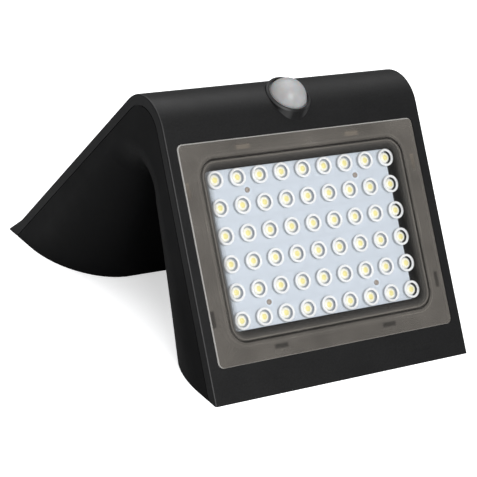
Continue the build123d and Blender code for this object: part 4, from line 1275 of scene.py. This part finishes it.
@dataclass
class Casing:
    """Housing shells, window, seals and fasteners that stay as their CAD shapes."""

    window_drop: float = 1.2 * MM
    window_rise: float = 7.6 * MM

    def finishes(self) -> dict[str, bpy.types.Material]:
        """One finish for each CAD node of the casing.

        Returns:
            The materials by node name.
        """
        charcoal = (0.0075, 0.0075, 0.0078)
        # The housing's last number is the painted highlight on its edge roundings.
        shell = MouldedPlastic("housing_grain", charcoal, 1500.0, 0.5, 0.46, 0.45, 0.3, 0.035)
        cover = MouldedPlastic("cover_grain", (0.003, 0.003, 0.0033), 1900.0, 0.25, 0.5, 0.2, 0.14)
        rubber = MouldedPlastic("seal_silicone", (0.03, 0.03, 0.03), 500.0, 0.15, 0.7).build()
        steel = PlatedMetal("zinc_plate", (0.60, 0.60, 0.59)).build()
        button = MouldedPlastic("button_soft_touch", (0.03, 0.03, 0.032), 900.0, 0.2, 0.6)
        return {
            "front_housing": shell.build(),
            "rear_cover": cover.build(),
            "seam_gasket": rubber,
            "window_gasket": rubber,
            "lamp_window": SmokedWindow("window_smoke", self.window_centre()).build(),
            "housing_screws": PlatedMetal("black_oxide", (0.06, 0.06, 0.065), 0.42).build(),
            "wall_bracket": steel,
            "lock_screw": steel,
            "mode_button": button.build(),
        }

    def window_centre(self) -> Vector:
        """Middle of the window's outer face, from the LED board's plane."""
        moved = Tilt.LAMP.out() * self.window_rise - Tilt.LAMP.up() * self.window_drop
        return middle("led_board") + moved

    def build(self) -> None:
        """Dress every node of the casing."""
        for node, material in self.finishes().items():
            dress(node, material)


@dataclass
class SolarPanel:
    """Laminated panel on the back wing."""

    def build(self) -> None:
        """Dress the panel's layers."""
        board = MouldedPlastic("glass_fibre_board", (0.07, 0.07, 0.075), 700.0, 0.2, 0.6).build()
        tape = MouldedPlastic("foam_tape", (0.06, 0.06, 0.06), 400.0, 0.5, 0.85).build()
        layers = {
            "panel_glass": ThinClear("panel_glass_clear", (0.05, 0.06, 0.09), 0.05, 0.1).build(),
            "encapsulant": ThinClear("panel_laminate", (0.04, 0.05, 0.08), 0.03, 0.2).build(),
            "solar_cells": SolarCell("silicon_blue", (0.007, 0.017, 0.07)).build(),
            "cell_ribbons": PlatedMetal("tinned_ribbon", (0.72, 0.72, 0.72), 0.28).build(),
            "panel_backing": board,
            "panel_adhesive": tape,
        }
        for node, material in layers.items():
            dress(node, material)


@dataclass
class Electronics:
    """Boards, battery pack and switch inside the wings."""

    def build(self) -> None:
        """Dress every inner node."""
        green = (0.012, 0.09, 0.035)
        sleeve = MouldedPlastic("capacitor_sleeve", (0.02, 0.03, 0.10), 300.0, 0.1, 0.25).build()
        nylon = MouldedPlastic("nylon_white", (0.70, 0.69, 0.64), 800.0, 0.1, 0.4).build()
        plum = (0.03, 0.015, 0.03)
        filter_glass = MouldedPlastic("infrared_filter", plum, 500.0, 0.02, 0.15).build()
        zinc = PlatedMetal("screw_zinc", (0.62, 0.62, 0.60), 0.26).build()
        black = MouldedPlastic("epoxy_black", (0.02, 0.02, 0.02), 1200.0, 0.2, 0.45).build()
        grey = MouldedPlastic("inner_plastic", (0.16, 0.16, 0.165), 900.0, 0.2, 0.5).build()
        wrap = MouldedPlastic("cell_shrink_wrap", (0.02, 0.16, 0.36), 200.0, 0.1, 0.22, 0.05).build()
        inner = {
            "control_board": CircuitBoard("mask_control", green, Tilt.SOLAR).build(),
            "switch_board": CircuitBoard("mask_switch", green, Tilt.LAMP).build(),
            "sensor_board": CircuitBoard("mask_sensor", green, Tilt.SENSOR).build(),
            "control_chips": black,
            "driver_inductor": black,
            "tact_switch": black,
            "capacitors": sleeve,
            "board_connectors": nylon,
            "battery_cradle": grey,
            "sensor_retainer": grey,
            "battery_cell_lower": wrap,
            "battery_cell_upper": wrap,
            "battery_contacts": PlatedMetal("contact_nickel", (0.66, 0.64, 0.58), 0.3).build(),
            "sensor_can": PlatedMetal("nickel_can", (0.70, 0.69, 0.66), 0.22).build(),
            "sensor_filter": filter_glass,
        }
        for node in ("control_screws", "cradle_screws", "sensor_screws", "switch_screws"):
            inner[node] = zinc
        for node, material in inner.items():
            dress(node, material)


# ------------------------------------------------------------------ studio
@dataclass(frozen=True)
class SoftLight:
    """A soft rectangular light."""

    name: str
    place: tuple[float, float, float]
    size: Point
    power: float

    def build(self, aim: Vector) -> None:
        """Add the light.

        Args:
            aim: The point it faces.
        """
        data = bpy.data.lights.new(self.name, "AREA")
        data.shape = "RECTANGLE"
        data.size, data.size_y = self.size
        data.energy = self.power
        lamp = bpy.data.objects.new(self.name, data)
        turn = (aim - Vector(self.place)).to_track_quat("-Z", "Y").to_matrix().to_4x4()
        lamp.matrix_world = Matrix.Translation(self.place) @ turn
        bpy.context.scene.collection.objects.link(lamp)
        LOG.info("%s: light of %g W", self.name, self.power)


@dataclass
class Studio:
    """Pale floor, soft lights and the camera."""

    camera_place: Vector = field(default_factory=lambda: Vector((-0.5589, -0.8026, 0.4468)))
    camera_forward: Vector = field(default_factory=lambda: Vector((0.5293, 0.7542, -0.3886)))
    camera_up: Vector = field(default_factory=lambda: Vector((0.1307, 0.3800, 0.9157)))
    lens: float = 129.2
    aim: Vector = field(default_factory=lambda: Vector((0.0, 0.0, 0.07)))
    floor_half: float = 6.0
    floor_glow: float = 0.55
    floor_mirrored: Colour = (0.28, 0.28, 0.28)
    surround_light: float = 0.5
    surround_mirrored: float = 0.22
    lights: tuple[SoftLight, ...] = (
        SoftLight("overhead", (0.1, 0.5, 1.7), (2.2, 1.6), 22.0),
        SoftLight("front_left", (-0.5, -2.0, 1.1), (1.2, 1.2), 36.0),
    )

    def camera(self) -> None:
        """Make the camera and set it as the scene's."""
        data = bpy.data.cameras.new("camera")
        data.lens = self.lens
        data.sensor_width = 36.0
        data.clip_end = 50.0
        camera = bpy.data.objects.new("camera", data)
        back = -self.camera_forward.normalized()
        right = self.camera_up.cross(back).normalized()
        up = back.cross(right)
        turn = Matrix((right, up, back)).transposed().to_4x4()
        camera.matrix_world = Matrix.Translation(self.camera_place) @ turn
        bpy.context.scene.collection.objects.link(camera)
        bpy.context.scene.camera = camera

    def floor(self) -> None:
        """Make the pale floor."""
        work = bmesh.new()
        bmesh.ops.create_grid(work, x_segments=1, y_segments=1, size=self.floor_half)
        mesh = bpy.data.meshes.new("floor")
        work.to_mesh(mesh)
        work.free()
        floor = show("studio_floor", mesh)
        s = Shading("floor_paper")
        shade = s.noise(s.place(), 3.0, 2.0)
        shader = s.principled(Roughness=0.9, Specular_IOR_Level=0.1)
        shader.inputs["Emission Color"].default_value = (1.0, 1.0, 1.0, 1.0)
        camera = s.node("LightPath").outputs["Is Camera Ray"]
        s.link(s.math("MULTIPLY", camera, self.floor_glow), shader.inputs["Emission Strength"])
        paper = s.mottled(shade, (0.93, 0.93, 0.93), (0.95, 0.95, 0.95))
        glossy = s.node("LightPath").outputs["Is Glossy Ray"]
        s.link(s.blend(glossy, paper, self.floor_mirrored), shader.inputs["Base Color"])
        floor.data.materials.append(s.material)

    def world(self) -> None:
        """White surroundings to the camera, dimmer as light and dimmer still in reflections."""
        world = bpy.data.worlds.new("studio")
        bpy.context.scene.world = world
        world.use_nodes = True
        tree = world.node_tree
        tree.nodes.clear()
        output = tree.nodes.new("ShaderNodeOutputWorld")
        seen, cast, mirrored = (tree.nodes.new("ShaderNodeBackground") for _ in range(3))
        seen.inputs["Color"].default_value = (1.0, 1.0, 1.0, 1.0)
        cast.inputs["Color"].default_value = (0.95, 0.97, 1.0, 1.0)
        cast.inputs["Strength"].default_value = self.surround_light
        mirrored.inputs["Strength"].default_value = self.surround_mirrored
        path = tree.nodes.new("ShaderNodeLightPath")
        mix, unseen = (tree.nodes.new("ShaderNodeMixShader") for _ in range(2))
        tree.links.new(path.outputs["Is Glossy Ray"], unseen.inputs["Fac"])
        tree.links.new(cast.outputs["Background"], unseen.inputs[1])
        tree.links.new(mirrored.outputs["Background"], unseen.inputs[2])
        tree.links.new(path.outputs["Is Camera Ray"], mix.inputs["Fac"])
        tree.links.new(unseen.outputs["Shader"], mix.inputs[1])
        tree.links.new(seen.outputs["Background"], mix.inputs[2])
        tree.links.new(mix.outputs["Shader"], output.inputs["Surface"])

    def build(self) -> None:
        """Set the whole studio."""
        self.camera()
        self.floor()
        self.world()
        for light in self.lights:
            light.build(self.aim)
        bpy.context.scene.view_settings.view_transform = "Standard"


def main() -> None:
    """Build the sub-assemblies in order."""
    logging.basicConfig(level=logging.INFO, format="%(message)s")
    housing = next(iter(frame["bodies"]))
    lamp, sensor = LampPanel(housing), MotionSensor(housing)
    for assembly in (Studio(), Casing(), lamp, sensor, SolarPanel(), Electronics()):
        assembly.build()
        LOG.info("%s ready", type(assembly).__name__)


if __name__ == "__main__":
    main()
